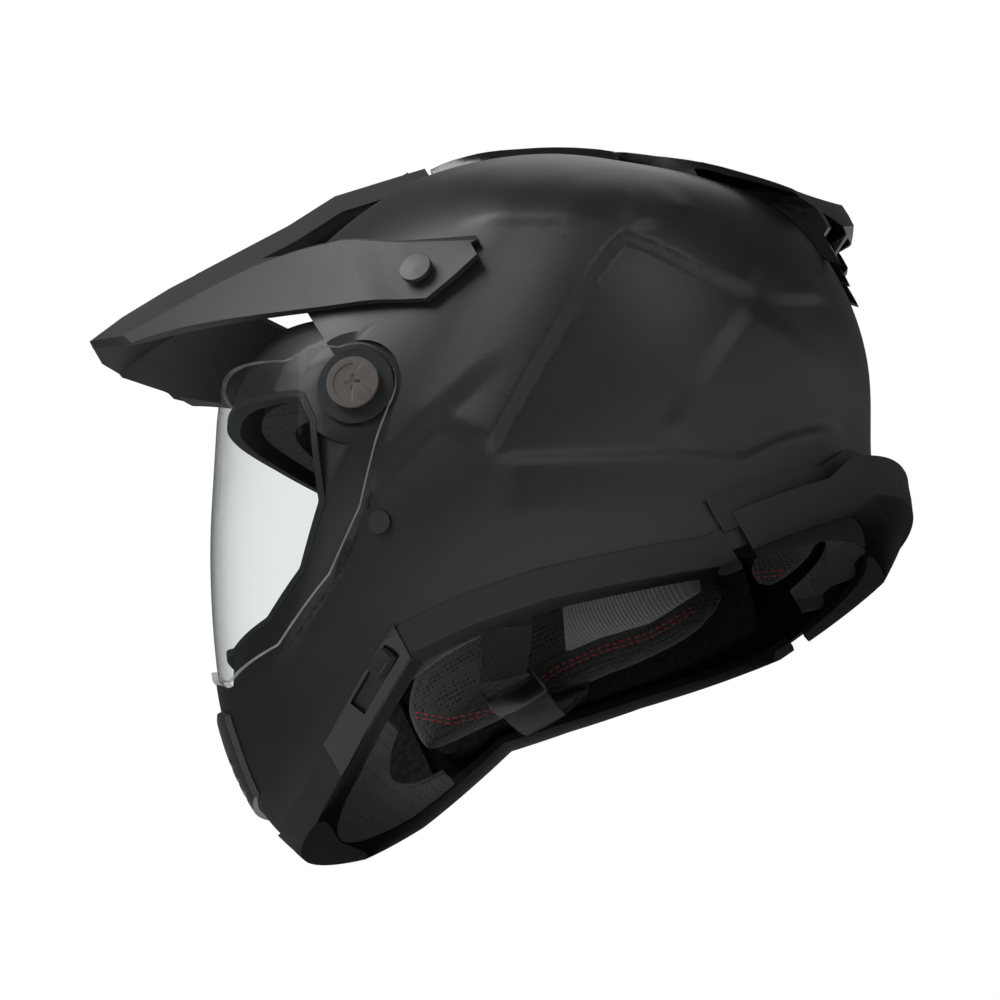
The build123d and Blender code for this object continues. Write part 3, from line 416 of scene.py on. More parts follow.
@dataclass
class Surface:
    """Triangles of a mesh, and the largest angle in radians that counts as smooth on it."""

    points: np.ndarray
    faces: np.ndarray
    limit: float

    @classmethod
    def of(cls, work: bmesh.types.BMesh, limit: float) -> "Surface":
        """Surface of a worked mesh, which is cut into triangles and freed."""
        bmesh.ops.triangulate(work, faces=work.faces)
        work.verts.ensure_lookup_table()
        work.verts.index_update()
        points = np.array([v.co for v in work.verts])
        faces = np.array([[v.index for v in f.verts] for f in work.faces])
        work.free()
        return cls(points, faces, limit)

    def crosses(self) -> np.ndarray:
        """Normal of each face, twice as long as the face's area."""
        a, b, c = (self.points[self.faces[:, k]] for k in range(3))
        return np.cross(b - a, c - a)

    def ends(self) -> np.ndarray:
        """Lower and higher vertex of each side: all first sides, then the others."""
        sides = [self.faces[:, [k, (k + 1) % 3]] for k in range(3)]
        return np.sort(np.concatenate(sides), axis=1)

    def corner_normals(self) -> np.ndarray:
        """One normal a corner, in the order of the faces, smooth only over flat enough edges."""
        points, faces = self.points, self.faces
        flat = unit(self.crosses())
        weight = np.empty(faces.shape)
        for k in range(3):
            here, ahead, behind = (points[faces[:, (k + s) % 3]] for s in (0, 1, 2))
            turn = (unit(ahead - here) * unit(behind - here)).sum(1)
            weight[:, k] = np.arccos(np.clip(turn, -1, 1))
        order = np.argsort(faces.reshape(-1), kind="stable")
        vertex = faces.reshape(-1)[order]
        face = np.repeat(np.arange(len(faces)), 3)[order]
        share = weight.reshape(-1)[order]
        count = np.bincount(vertex, minlength=len(points))
        start = np.concatenate(([0], np.cumsum(count)[:-1]))
        spot = np.arange(len(vertex)) - start[vertex]
        total = np.zeros((len(vertex), 3))
        for step in range(int(count.max())):
            other = start[vertex] + (spot + step) % count[vertex]
            near = (flat[face] * flat[face[other]]).sum(1) > cos(self.limit)
            use = near & (step < count[vertex])
            total += np.where(use, share[other], 0.0)[:, None] * flat[face[other]]
        result = np.empty_like(total)
        result[order] = unit(total)
        return result.reshape(len(faces), 3, 3)

    def curved_middles(self, edge_of: np.ndarray, count: int) -> np.ndarray:
        """Middle of each edge, on the curve that the normals at its ends ask for.

        Args:
            edge_of: number of each side's edge, in the order of the sides.
            count: how many edges there are.

        Returns:
            One place an edge.
        """
        normals = self.corner_normals()
        middle = np.zeros((count, 3))
        for k in range(3):
            first, second = (self.points[self.faces[:, (k + s) % 3]] for s in (0, 1))
            n0, n1 = normals[:, k], normals[:, (k + 1) % 3]
            span = second - first
            near = (2 * first + second - (span * n0).sum(1, keepdims=True) * n0) / 3
            far = (2 * second + first - (-span * n1).sum(1, keepdims=True) * n1) / 3
            rows = edge_of[k * len(self.faces):(k + 1) * len(self.faces)]
            np.add.at(middle, rows, (first + 3 * near + 3 * far + second) / 8)
        return middle / np.bincount(edge_of, minlength=count)[:, None]

    def refine(self, longest: float, chosen: np.ndarray | None = None) -> np.ndarray:
        """Halves long edges along the surface's curve until none is longer than asked.

        Args:
            longest: length of the longest edge that stays, in metres.
            chosen: which vertices' edges may be halved; all if left out.

        Returns:
            Which vertices are chosen, the new ones among them.
        """
        chosen = np.ones(len(self.points), bool) if chosen is None else chosen
        for _ in range(MOST_HALVINGS):
            edges, edge_of = np.unique(self.ends(), axis=0, return_inverse=True)
            edge_of = edge_of.reshape(-1)
            length = np.linalg.norm(self.points[edges[:, 0]] - self.points[edges[:, 1]], axis=1)
            marked = (length > longest) & chosen[edges[:, 0]] & chosen[edges[:, 1]]
            if not marked.any():
                break
            middle = self.curved_middles(edge_of, len(edges))[marked]
            number = np.full(len(edges), -1)
            number[marked] = np.arange(marked.sum()) + len(self.points)
            self.points = np.concatenate([self.points, middle])
            chosen = np.concatenate([chosen, np.ones(len(middle), bool)])
            self.split(number[edge_of.reshape(3, -1)].T)
        return chosen

    def split(self, side: np.ndarray) -> None:
        """Splits each face at its halved sides.

        Args:
            side: for each face, the vertex in the middle of each side, or -1.
        """
        count = (side >= 0).sum(1)
        after_gap = (side.argmin(1) + 1) % 3
        turn = np.where(count == 1, side.argmax(1), np.where(count == 2, after_gap, 0))
        roll = (np.arange(3)[None, :] + turn[:, None]) % 3
        a, b, c = np.take_along_axis(self.faces, roll, 1).T
        m, n, o = np.take_along_axis(side, roll, 1).T
        parts = [self.faces[count == 0]]
        for cuts, rows in ((1, ((a, m, c), (m, b, c))),
                           (2, ((m, b, n), (a, m, n), (a, n, c))),
                           (3, ((a, m, o), (m, b, n), (o, n, c), (m, n, o)))):
            parts += [np.stack([v[count == cuts] for v in row], 1) for row in rows]
        self.faces = np.concatenate(parts)

    def patches(self) -> list[tuple[float, np.ndarray]]:
        """Area and faces of each group that meets over smooth edges only, the largest first."""
        cross = self.crosses()
        area = np.linalg.norm(cross, axis=1)
        flat = unit(cross)
        ends = self.ends()
        order = np.lexsort((ends[:, 1], ends[:, 0]))
        same = (ends[order][1:] == ends[order][:-1]).all(1)
        one, two = (part[same] % len(self.faces) for part in (order[:-1], order[1:]))
        near = (flat[one] * flat[two]).sum(1) > cos(self.limit)
        one, two = one[near], two[near]
        label = np.arange(len(self.faces))
        while True:
            low = np.minimum(label[one], label[two])
            before = label.copy()
            np.minimum.at(label, one, low)
            np.minimum.at(label, two, low)
            label = label[label]
            if (label == before).all():
                break
        groups = [(area[label == key].sum() / 2, np.flatnonzero(label == key))
                  for key in np.unique(label)]
        return sorted(groups, key=lambda group: -group[0])

    def corners(self, group: np.ndarray) -> np.ndarray:
        """Places of the corners of some faces."""
        return self.points[self.faces[group]]

    def vertex_normals(self, group: np.ndarray) -> np.ndarray:
        """Sum of some faces' normals at each vertex, not brought to a length."""
        normals = np.zeros_like(self.points)
        cross = self.crosses()
        for k in range(3):
            np.add.at(normals, self.faces[group, k], cross[group])
        return normals


def unit(rows: np.ndarray) -> np.ndarray:
    """Vectors brought to a length of 1."""
    return rows / (np.linalg.norm(rows, axis=1, keepdims=True) + TINY)


def shown(name: str, mesh: bpy.types.Mesh, body: str) -> bpy.types.Object:
    """Makes an object of a mesh, riding on a body.

    Args:
        name: the piece's name.
        mesh: its mesh, in the frame's own place.
        body: name of the body.

    Returns:
        The object, in the scene.
    """
    made = bpy.data.objects.new(name, mesh)
    bpy.context.scene.collection.objects.link(made)
    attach(made, body)
    return made


@dataclass
class Piece:
    """One visible piece from a CAD node's mesh, rounded and with softened edges, in metres."""

    node: str
    slot: Slot
    bevel: float = 0.0
    body: str = "shell"
    longest: float = 8.0 * MM
    smooth: float = SMOOTH_ANGLE
    curved: bool = True
    weld: float = 0.02 * MM
    nearly_flat: float = 0.5

    def outline_mesh(self) -> bmesh.types.BMesh:
        """Copy of the node's mesh, joined up and without needless edges."""
        work = bmesh.new()
        work.from_mesh(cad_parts[self.node].data)
        bmesh.ops.transform(work, matrix=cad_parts[self.node].matrix_world, verts=work.verts)
        bmesh.ops.remove_doubles(work, verts=work.verts, dist=self.weld)
        return work

    def build(self) -> bpy.types.Object:
        """Makes the piece and hides the node that it stands for.

        Returns:
            The new object.
        """
        work = self.outline_mesh()
        if self.bevel:
            bmesh.ops.dissolve_limit(work, angle_limit=radians(1.0),
                                     verts=work.verts, edges=work.edges)
            sharp = [e for e in work.edges
                     if len(e.link_faces) == 2 and e.calc_face_angle(0.0) > radians(SMOOTH_ANGLE)]
            bmesh.ops.bevel(work, geom=sharp, offset=self.bevel, segments=2, profile=0.5,
                            affect="EDGES", clamp_overlap=True)
        surface = Surface.of(work, radians(self.smooth if self.curved else self.nearly_flat))
        surface.refine(self.longest)
        surface.points = self.shape(surface.points)
        return self.finish(surface)

    def shape(self, points: np.ndarray) -> np.ndarray:
        """Lets a sub-class move the points, given in metres."""
        return points

    def finish(self, surface: Surface) -> bpy.types.Object:
        """Turns a surface into the object, dressed and riding on its body."""
        name = self.node + "_skin"
        mesh = bpy.data.meshes.new(name)
        mesh.from_pydata(surface.points.tolist(), [], surface.faces.tolist())
        mesh.validate()
        mesh.shade_smooth()
        mesh.set_sharp_from_angle(angle=radians(self.smooth))
        mesh.materials.append(WARDROBE.of_slot[self.slot])
        made = shown(name, mesh, self.body)
        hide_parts(self.node)
        if self.bevel:
            made.modifiers.new("even_shade", "WEIGHTED_NORMAL").keep_sharp = True
        LOG.info("%s: %d faces", name, len(surface.faces))
        return made


class SheetPiece(Piece):
    """Clear or tinted sheet: its outer side and its cut edges."""

    def finish(self, surface: Surface) -> bpy.types.Object:
        """Keeps the outer side of the sheet and dresses its cut edges."""
        outer, inner = sorted((group for _area, group in surface.patches()[:2]),
                              key=lambda group: -np.abs(surface.corners(group)[..., 0]).max())
        edge = np.ones(len(surface.faces), bool)
        edge[outer] = False
        kept = np.ones(len(surface.faces), bool)
        kept[inner] = False
        made = super().finish(Surface(surface.points, surface.faces[kept], surface.limit))
        # The cut edges wear the finish whose colour is painted light.
        made.data.materials.append(WARDROBE.edge)
        made.data.polygons.foreach_set("material_index", edge[kept].astype(np.int32))
        return made


@dataclass(frozen=True)
class Relief:
    """Soft step along a line on the shell's side, in millimetres of Y and Z.

    The height is added on the line's left, going along it as seen from the helmet's left.
    """

    line: tuple
    height: float
    soft: float
    reach: float = 1000.0
    fade: float = 14.0

    def raised(self, y: np.ndarray, z: np.ndarray) -> np.ndarray:
        """How far the surface comes out at each place.

        Args:
            y: Y of each place, in millimetres.
            z: Z of each place.

        Returns:
            Height in millimetres.
        """
        best = np.full(y.shape, np.inf)
        signed = np.zeros(y.shape)
        along = np.zeros(y.shape)
        total = 0.0
        for (y0, z0), (y1, z1) in zip(self.line, self.line[1:]):
            dy, dz = y1 - y0, z1 - z0
            long = float(np.hypot(dy, dz))
            share = ((y - y0) * dy + (z - z0) * dz) / long ** 2
            held = np.clip(share, 0.0, 1.0)
            gap = np.hypot(y - y0 - held * dy, z - z0 - held * dz)
            side = np.sign(dy * (z - z0) - dz * (y - y0))
            near = gap < best
            best = np.where(near, gap, best)
            signed = np.where(near, side * gap, signed)
            along = np.where(near, total + share * long, along)
            total += long
        ends = ease(along / self.fade) * ease((total - along) / self.fade)
        rise = ease(0.5 + signed / (2 * self.soft))
        return self.height * ends * rise * (1.0 - ease(signed / self.reach))


def ease(value: np.ndarray) -> np.ndarray:
    """Smooth step from 0 to 1."""
    held = np.clip(value, 0.0, 1.0)
    return held * held * (3.0 - 2.0 * held)


@dataclass
class PeakSkin(Piece):
    """Sun peak, with its flat bands bent into one sweep.

    Each row, in millimetres, gives a place along the peak (Y), the tongue's height (Z), the crease
    (X, Z), the lower edge (X, Z) and how closely the sweep follows that row.
    """

    rows: tuple = (
        (-162, 272.5, 34, 264.0, 40, 256.0, 0.4), (-137, 276.0, 42, 254.5, 46, 250.0, 0.5),
        (-110, 277.0, 50, 253.6, 62, 236.0, 1.0), (-86, 276.0, 62, 247.0, 82, 219.0, 1.0),
        (-46, 273.5, 88, 229.4, 109, 193.2, 1.0), (-22, 275.0, 102.5, 217.0, 120.5, 175.2, 1.0),
        (2, 271.0, 113, 196.0, 126, 160.0, 0.6), (34, 266.0, 121, 174.5, 126.5, 166.0, 0.3))
    tongue_half: float = 21.0
    tongue_blend: float = 6.0
    held_behind: float = -8.0
    held_blend: float = 22.0

    def along(self, x: np.ndarray, z: np.ndarray, start: tuple,
              end: tuple) -> tuple[np.ndarray, np.ndarray]:
        """Share along a band from one edge to the next, and the gap to it, for each point.

        Args:
            x: X of each point, in millimetres.
            z: Z of each point.
            start: X and Z of the band's first edge there.
            end: X and Z of its second edge.

        Returns:
            The shares and the gaps.
        """
        dx, dz = end[0] - start[0], end[1] - start[1]
        share = np.clip(((x - start[0]) * dx + (z - start[1]) * dz) / (dx ** 2 + dz ** 2), 0, 1)
        return share, np.hypot(x - (start[0] + share * dx), z - (start[1] + share * dz))

    def shape(self, points: np.ndarray) -> np.ndarray:
        """Moves each point by the gap between the bands and a smooth sweep through them."""
        x, y, z = np.abs(points[:, 0]) / MM, points[:, 1] / MM, points[:, 2] / MM
        place, *edges, weights = np.array(self.rows, float).T
        plain = [np.interp(y, place, row) for row in edges]
        curve = [np.polyval(np.polyfit(place, row, 3, w=weights), y) for row in edges]
        top, crease_x, crease_z, low_x, low_z = plain
        moves = [new - old for new, old in zip(curve, plain)]
        tongue, crease = (self.tongue_half, top), (crease_x, crease_z)
        share_one, gap_one = self.along(x, z, tongue, crease)
        share_two, gap_two = self.along(x, z, crease, (low_x, low_z))
        upper = gap_one < gap_two
        t = np.where(upper, share_one, share_two)
        move_x = np.where(upper, t * moves[1], (1 - t) * moves[1] + t * moves[3])
        move_z = np.where(upper, (1 - t) * moves[0] + t * moves[2],
                          (1 - t) * moves[2] + t * moves[4])
        hold = ease((self.held_behind - y) / self.held_blend)
        hold *= ease((x - self.tongue_half) / self.tongue_blend)
        moved = points.copy()
        moved[:, 0] += np.sign(points[:, 0]) * move_x * hold * MM
        moved[:, 2] += move_z * hold * MM
        return moved


RELIEFS = (
    Relief(((-7.8, 82.3), (40.0, 114.0), (84.0, 143.0), (90.0, 145.5), (97.0, 138.0),
            (111.8, 117.1), (130.4, 99.0)), 3.6, 2.6, 46.0, 12.0),
    Relief(((130.4, 99.0), (113.4, 88.5), (89.4, 72.7), (61.7, 55.8)), 2.4, 4.5, 40.0, 12.0),
    Relief(((139.1, 41.6), (129.4, 42.6), (116.7, 41.4), (105.3, 40.2), (90.7, 37.8),
            (74.1, 44.7), (36.0, 60.8), (-7.8, 82.3)), -3.0, 3.0, 26.0, 14.0),
    Relief(((25.1, 191.7), (45.8, 180.1), (68.5, 165.3), (88.6, 148.3)), 2.2, 4.2, 40.0, 26.0),
    Relief(((88.6, 148.3), (104.0, 146.0), (126.6, 151.2)), 1.6, 3.2, 34.0, 12.0),
    Relief(((129.8, 98.7), (144.4, 95.8), (162.9, 97.8)), 2.0, 3.6, 36.0, 12.0),
    Relief(((30.3, 119.4), (6.8, 117.2), (-15.9, 112.5), (-42.8, 106.0), (-74.2, 93.0),
            (-107.7, 75.1), (-145.3, 57.2)), -1.6, 6.5, 46.0, 36.0),
)


@dataclass
class ShellSkin(Piece):
    """Outer shell, whose sharp side relief makes way for soft steps. Sizes are in metres.

    The shell's form is half_wide wide, reach long to the front and tall above its widest height,
    equator. The relief lies relief_deep below it, between the corners of relief_box (Y and Z).
    """

    longest: float = 3.0 * MM
    half_wide: float = 122.0 * MM
    reach: float = 183.3 * MM
    tall: float = 147.0 * MM
    equator: float = 115.0 * MM
    relief_deep: float = 2.5 * MM
    relief_box: tuple = ((-14.0 * MM, 30.0 * MM), (136.0 * MM, 152.0 * MM))
    relief_long: float = 100.0 * MM
    relief_side: float = 80.0 * MM
    relief_area: float = 3000.0 * MM ** 2
    weld_box: tuple = ((-12.0 * MM, 30.0 * MM), (135.0 * MM, 150.0 * MM))
    weld_side: float = 78.0 * MM
    relief_weld: float = 0.6 * MM
    reach_slack: float = 3.0 * MM
    steps_from: float = 35.0 * MM
    steps_blend: float = 25.0 * MM

    def build(self) -> bpy.types.Object:
        """Fills the sharp relief, refines the outside and raises the soft steps.

        Returns:
            The new object.
        """
        surface = Surface.of(self.outline_mesh(), radians(self.smooth))
        for area, group in surface.patches():
            if area > self.relief_area and self.is_relief(surface.corners(group)):
                self.fill(surface, group)
        surface = self.joined(surface)
        outside = np.zeros(len(surface.points), bool)
        outside[np.unique(surface.faces[self.outer_group(surface)])] = True
        outside = surface.refine(self.longest, outside)
        self.raise_steps(surface, outside)
        return self.finish(surface)

    def is_relief(self, corners: np.ndarray) -> bool:
        """Tells whether a patch is the sharp relief's floor, from its corners."""
        low, high = corners.min((0, 1))[1:], corners.max((0, 1))[1:]
        within = (low > self.relief_box[0]).all() and (high < self.relief_box[1]).all()
        aside = abs(corners[..., 0].mean()) > self.relief_side
        return bool(within and aside and high[0] - low[0] > self.relief_long)

    def fill(self, surface: Surface, floor: np.ndarray) -> None:
        """Brings the sharp relief's floor, given by its faces, out to the shell's form."""
        here = np.unique(surface.faces[floor])
        x, y, z = surface.points[here].T
        nx, ny, nz = surface.vertex_normals(floor)[here].T
        above = self.equator + (z - self.equator) / (1 - self.relief_deep / self.tall)
        level = np.where(z > self.equator, above, z)
        ahead = y / (1 - self.relief_deep / self.reach)
        surface.points[here, 0] = (x / (1 - self.relief_deep / self.half_wide)
                                   + ny / nx * (ahead - y) + nz / nx * (level - z))

    def joined(self, surface: Surface) -> Surface:
        """Welds the relief's vertices that now nearly meet and drops faces without area."""
        work = bmesh.new()
        verts = [work.verts.new(place) for place in surface.points]
        for row in surface.faces:
            if work.faces.get([verts[i] for i in row]) is None:
                work.faces.new([verts[i] for i in row])
        (y0, z0), (y1, z1) = self.weld_box
        near = [v for v in work.verts if abs(v.co.x) > self.weld_side
                and y0 < v.co.y < y1 and z0 < v.co.z < z1]
        bmesh.ops.remove_doubles(work, verts=near, dist=self.relief_weld)
        return Surface.of(work, surface.limit)

    def outer_group(self, surface: Surface) -> np.ndarray:
        """Faces of the largest patch that reaches as far out as the shell does."""
        enough = np.abs(surface.points[:, 0]).max() - self.reach_slack
        return next(group for _area, group in surface.patches()
                    if np.abs(surface.corners(group)[..., 0]).max() > enough)

    def raise_steps(self, surface: Surface, outside: np.ndarray) -> None:
        """Moves the vertices of the outer form along its normals by the soft steps."""
        normals = unit(surface.vertex_normals(outside[surface.faces].all(1)))
        x, y, z = surface.points.T
        height = sum(relief.raised(y / MM, z / MM) for relief in RELIEFS) * MM
        height *= ease((np.abs(x) - self.steps_from) / self.steps_blend)
        surface.points[outside] += normals[outside] * height[outside, None]


@dataclass
class Pad:
    """Padded piece: a CAD pad swollen a little by cloth pressure, with a soft surface."""

    node: str
    voxel: float = 5.0 * MM
    cap: float = 4.0 * MM
    shrink: float = 2.0 * MM
    fill: float = 0.7
    pressure: float = 4.0
    frames: int = 12

    def build(self) -> bpy.types.Object:
        """Makes the pad.

        Returns:
            The padded object.
        """
        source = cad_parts[self.node]
        mesh = source.data.copy()
        mesh.transform(source.matrix_world)
        made = bpy.data.objects.new(self.node + "_pad", mesh)
        bpy.context.scene.collection.objects.link(made)
        mesh.materials.clear()
        mesh.materials.append(WARDROBE.of_slot[Slot.LINING])
        self.remesh(made)
        self.swell(made)
        self.relax(made)
        made.data.shade_smooth()
        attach(made, "shell")
        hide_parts(self.node)
        LOG.info("%s: %d faces", made.name, len(made.data.polygons))
        return made

    def remesh(self, made: bpy.types.Object) -> None:
        """Gives the pad an even mesh."""
        change = made.modifiers.new("even", "REMESH")
        change.mode = "VOXEL"
        change.voxel_size = self.voxel
        self.apply(made)

    def apply(self, made: bpy.types.Object) -> None:
        """Applies every modifier of the pad."""
        graph = bpy.context.evaluated_depsgraph_get()
        graph.update()
        result = bpy.data.meshes.new_from_object(made.evaluated_get(graph), depsgraph=graph)
        made.modifiers.clear()
        made.data = result

    def swell(self, made: bpy.types.Object) -> None:
        """Lets cloth pressure round the pad, within its cap."""
        before = np.array([v.co for v in made.data.vertices])
        inward = np.array([v.normal for v in made.data.vertices]) * self.shrink
        made.data.vertices.foreach_set("co", (before - inward).reshape(-1))
        change = made.modifiers.new("swell", "CLOTH")
        change.settings.use_pressure = True
        change.settings.uniform_pressure_force = self.pressure
        change.settings.effector_weights.gravity = 0.0
        change.settings.quality = 4
        scene = bpy.context.scene
        for step in range(self.frames):
            scene.frame_set(step + 1)
        self.apply(made)
        scene.frame_set(1)
        after = np.array([v.co for v in made.data.vertices])
        move = after - before
        length = np.linalg.norm(move, axis=1, keepdims=True) + 1e-9
        capped = before + move * np.minimum(1.0, self.cap / length)
        made.data.vertices.foreach_set("co", capped.reshape(-1))

    def relax(self, made: bpy.types.Object) -> None:
        """Smooths the pad and subdivides it once."""
        change = made.modifiers.new("soft", "SMOOTH")
        change.factor = 0.5
        change.iterations = 6
        made.modifiers.new("fine", "SUBSURF").levels = 1
        self.apply(made)


@dataclass
class Trimming:
    """Stitched seams and a cloth patch, laid on the pads as the open base shows them.

    Places and sizes are in millimetres; places are to the right of and above the middle of the
    helmet, seen from below its left.
    """

    studio: "Studio"
    targets: tuple = ("cheek_pad_left_pad", "cheek_pad_right_pad", "neck_roll_pad")
    rows: Spot = (-1.1, 1.1)
    stitch_long: float = 2.5
    stitch_pitch: float = 3.6
    thread: float = 0.4
    sunk: float = 0.3
    widest_stitch: float = 6.0
    patch_cells: tuple[int, int] = (36, 14)
    patch_thick: float = 0.8
    widest_cell: float = 20.0
    cheek_top: tuple = ((28, -46.5), (46.5, -39.5), (70, -35), (93, -32.5))
    cheek_base: tuple = ((30, -72), (46.5, -65), (70, -58), (95, -42))
    cheek_line: tuple = ((-39.5, -100), (-23, -103), (-5, -98.6), (14, -88), (28, -78),
                         (46.5, -69.8), (70, -62.8), (93, -48.8))
    neck_line: tuple = ((118.6, -34.9), (140, -33), (162.8, -27.9))

    def __post_init__(self) -> None:
        """Keeps the directions and a search tree of the pads."""
        self.right, self.up, self.away = self.studio.axes()
        self.trees = {}

    def land(self, place: Spot) -> tuple[Vector, Vector] | None:
        """Nearest place and normal where the line of sight meets a pad.

        Args:
            place: millimetres right and up.

        Returns:
            The place and the normal, or nothing.
        """
        middle = Vector(self.studio.target)
        eye = middle + self.away * self.studio.distance
        aim = middle + self.right * (place[0] * MM) + self.up * (place[1] * MM)
        found = None
        for name in self.targets:
            if name not in self.trees:
                graph = bpy.context.evaluated_depsgraph_get()
                self.trees[name] = BVHTree.FromObject(bpy.data.objects[name], graph)
            spot, normal, _index, far = self.trees[name].ray_cast(eye, (aim - eye).normalized())
            if spot is not None and (found is None or far < found[2]):
                found = (spot, normal, far)
        return found[:2] if found else None

    def seam(self, name: str, line: tuple) -> None:
        """Lays rows of stitches along a line.

        Args:
            name: the piece's name.
            line: places that the seam passes.
        """
        work = bmesh.new()
        places = np.array(line, float)
        run = np.concatenate(([0.0], np.cumsum(np.hypot(*np.diff(places, axis=0).T))))

        def at(along: float) -> np.ndarray:
            """Place at a distance along the line."""
            return np.array([float(np.interp(along, run, places[:, k])) for k in (0, 1)])

        for side in self.rows:
            for start in np.arange(0.0, run[-1] - self.stitch_long - 0.1, self.stitch_pitch):
                ends = []
                for along in (start, start + self.stitch_long):
                    dx, dy = at(along + 0.5) - at(along)
                    out = np.array((-dy, dx + 1e-9)) / float(np.hypot(dx + 1e-9, dy))
                    ends.append(self.land(tuple(at(along) + out * side)))
                if all(ends) and (ends[0][0] - ends[1][0]).length < self.widest_stitch * MM:
                    self.stitch(work, *ends)
        self.make(name, work, WARDROBE.thread, Slot.TAB)

    def stitch(self, work: bmesh.types.BMesh, start: tuple, end: tuple) -> None:
        """Adds one stitch, a small tube that sinks into the cloth at both ends."""
        line = (end[0] - start[0]).normalized()
        out = ((start[1] + end[1]) / 2).normalized()
        side = line.cross(out).normalized()
        rings = []
        for share, rise, wide in ((0.0, -self.sunk, 0.5), (0.2, 0.1, 1.0), (0.8, 0.1, 1.0),
                                  (1.0, -self.sunk, 0.5)):
            middle = start[0].lerp(end[0], share) + out * (rise * MM)
            radius = self.thread * MM * wide
            rings.append([work.verts.new(middle + (side * cos(a) + out * sin(a)) * radius)
                          for a in (pi * k / 3 for k in range(6))])
        for one, two in zip(rings, rings[1:]):
            for k in range(6):
                work.faces.new((one[k], one[(k + 1) % 6], two[(k + 1) % 6], two[k]))
        work.faces.new(rings[0][::-1])
        work.faces.new(rings[-1])

    def patch(self, name: str, top: tuple, base: tuple) -> None:
        """Lays a cloth patch between two lines.

        Args:
            name: the piece's name.
            top: places along its upper edge.
            base: places along its lower edge.
        """
        work = bmesh.new()
        wide, tall = self.patch_cells
        shares = np.linspace(0, 1, wide)
        upper, lower = (np.stack([np.interp(shares * (len(row) - 1), range(len(row)),
                                            [spot[k] for spot in row]) for k in (0, 1)], 1)
                        for row in (top, base))
        grid = []
        for j in range(tall):
            down = j / (tall - 1)
            for i in range(wide):
                spot = self.land(tuple(upper[i] * (1 - down) + lower[i] * down))
                edge = min(i, wide - 1 - i, j * 1.5, (tall - 1 - j) * 1.5)
                lift = self.patch_thick * MM * (min(1.0, edge / 2.0) - 0.25)
                grid.append(work.verts.new(spot[0] + spot[1] * lift) if spot else None)
        for j in range(tall - 1):
            for i in range(wide - 1):
                one = j * wide + i
                corners = [grid[k] for k in (one, one + wide, one + wide + 1, one + 1)]
                if all(corners) and max((corners[k].co - corners[k + 2].co).length
                                        for k in (0, 1)) < self.widest_cell * MM:
                    work.faces.new(corners)
        self.make(name, work, WARDROBE.patch, Slot.LINING)

    def make(self, name: str, work: bmesh.types.BMesh, material: bpy.types.Material,
             slot: Slot) -> None:
        """Turns the worked faces into a piece that rides on the shell.

        Args:
            name: the piece's name.
            work: the worked mesh, which is freed.
            material: what it is dressed in.
            slot: the record's slot; not used.
        """
        loose = [v for v in work.verts if not v.link_faces]
        bmesh.ops.delete(work, geom=loose, context="VERTS")
        bmesh.ops.recalc_face_normals(work, faces=work.faces)
        LOG.info("%s: %d faces", name, len(work.faces))
        if work.faces:
            mesh = bpy.data.meshes.new(name)
            work.to_mesh(mesh)
            mesh.shade_smooth()
            mesh.materials.append(material)
            shown(name, mesh, "shell")
        work.free()

    def build(self) -> None:
        """Adds the patch and the seams."""
        self.patch("cheek_patch", self.cheek_top, self.cheek_base)
        self.seam("cheek_seam", self.cheek_line)
        self.seam("neck_seam", self.neck_line)


@dataclass(frozen=True)
class Lamp:
    """Soft square lamp: its place in metres, its side and its power in watts."""

    name: str
    place: tuple[float, float, float]
    size: float
    power: float

    def build(self, target: Vector) -> None:
        """Adds the lamp, facing its target."""
        data = bpy.data.lights.new(self.name, "AREA")
        data.size = self.size
        data.energy = self.power
        made = bpy.data.objects.new(self.name, data)
        made.location = self.place
        made.rotation_euler = (target - Vector(self.place)).to_track_quat("-Z", "Y").to_euler()
        bpy.context.scene.collection.objects.link(made)


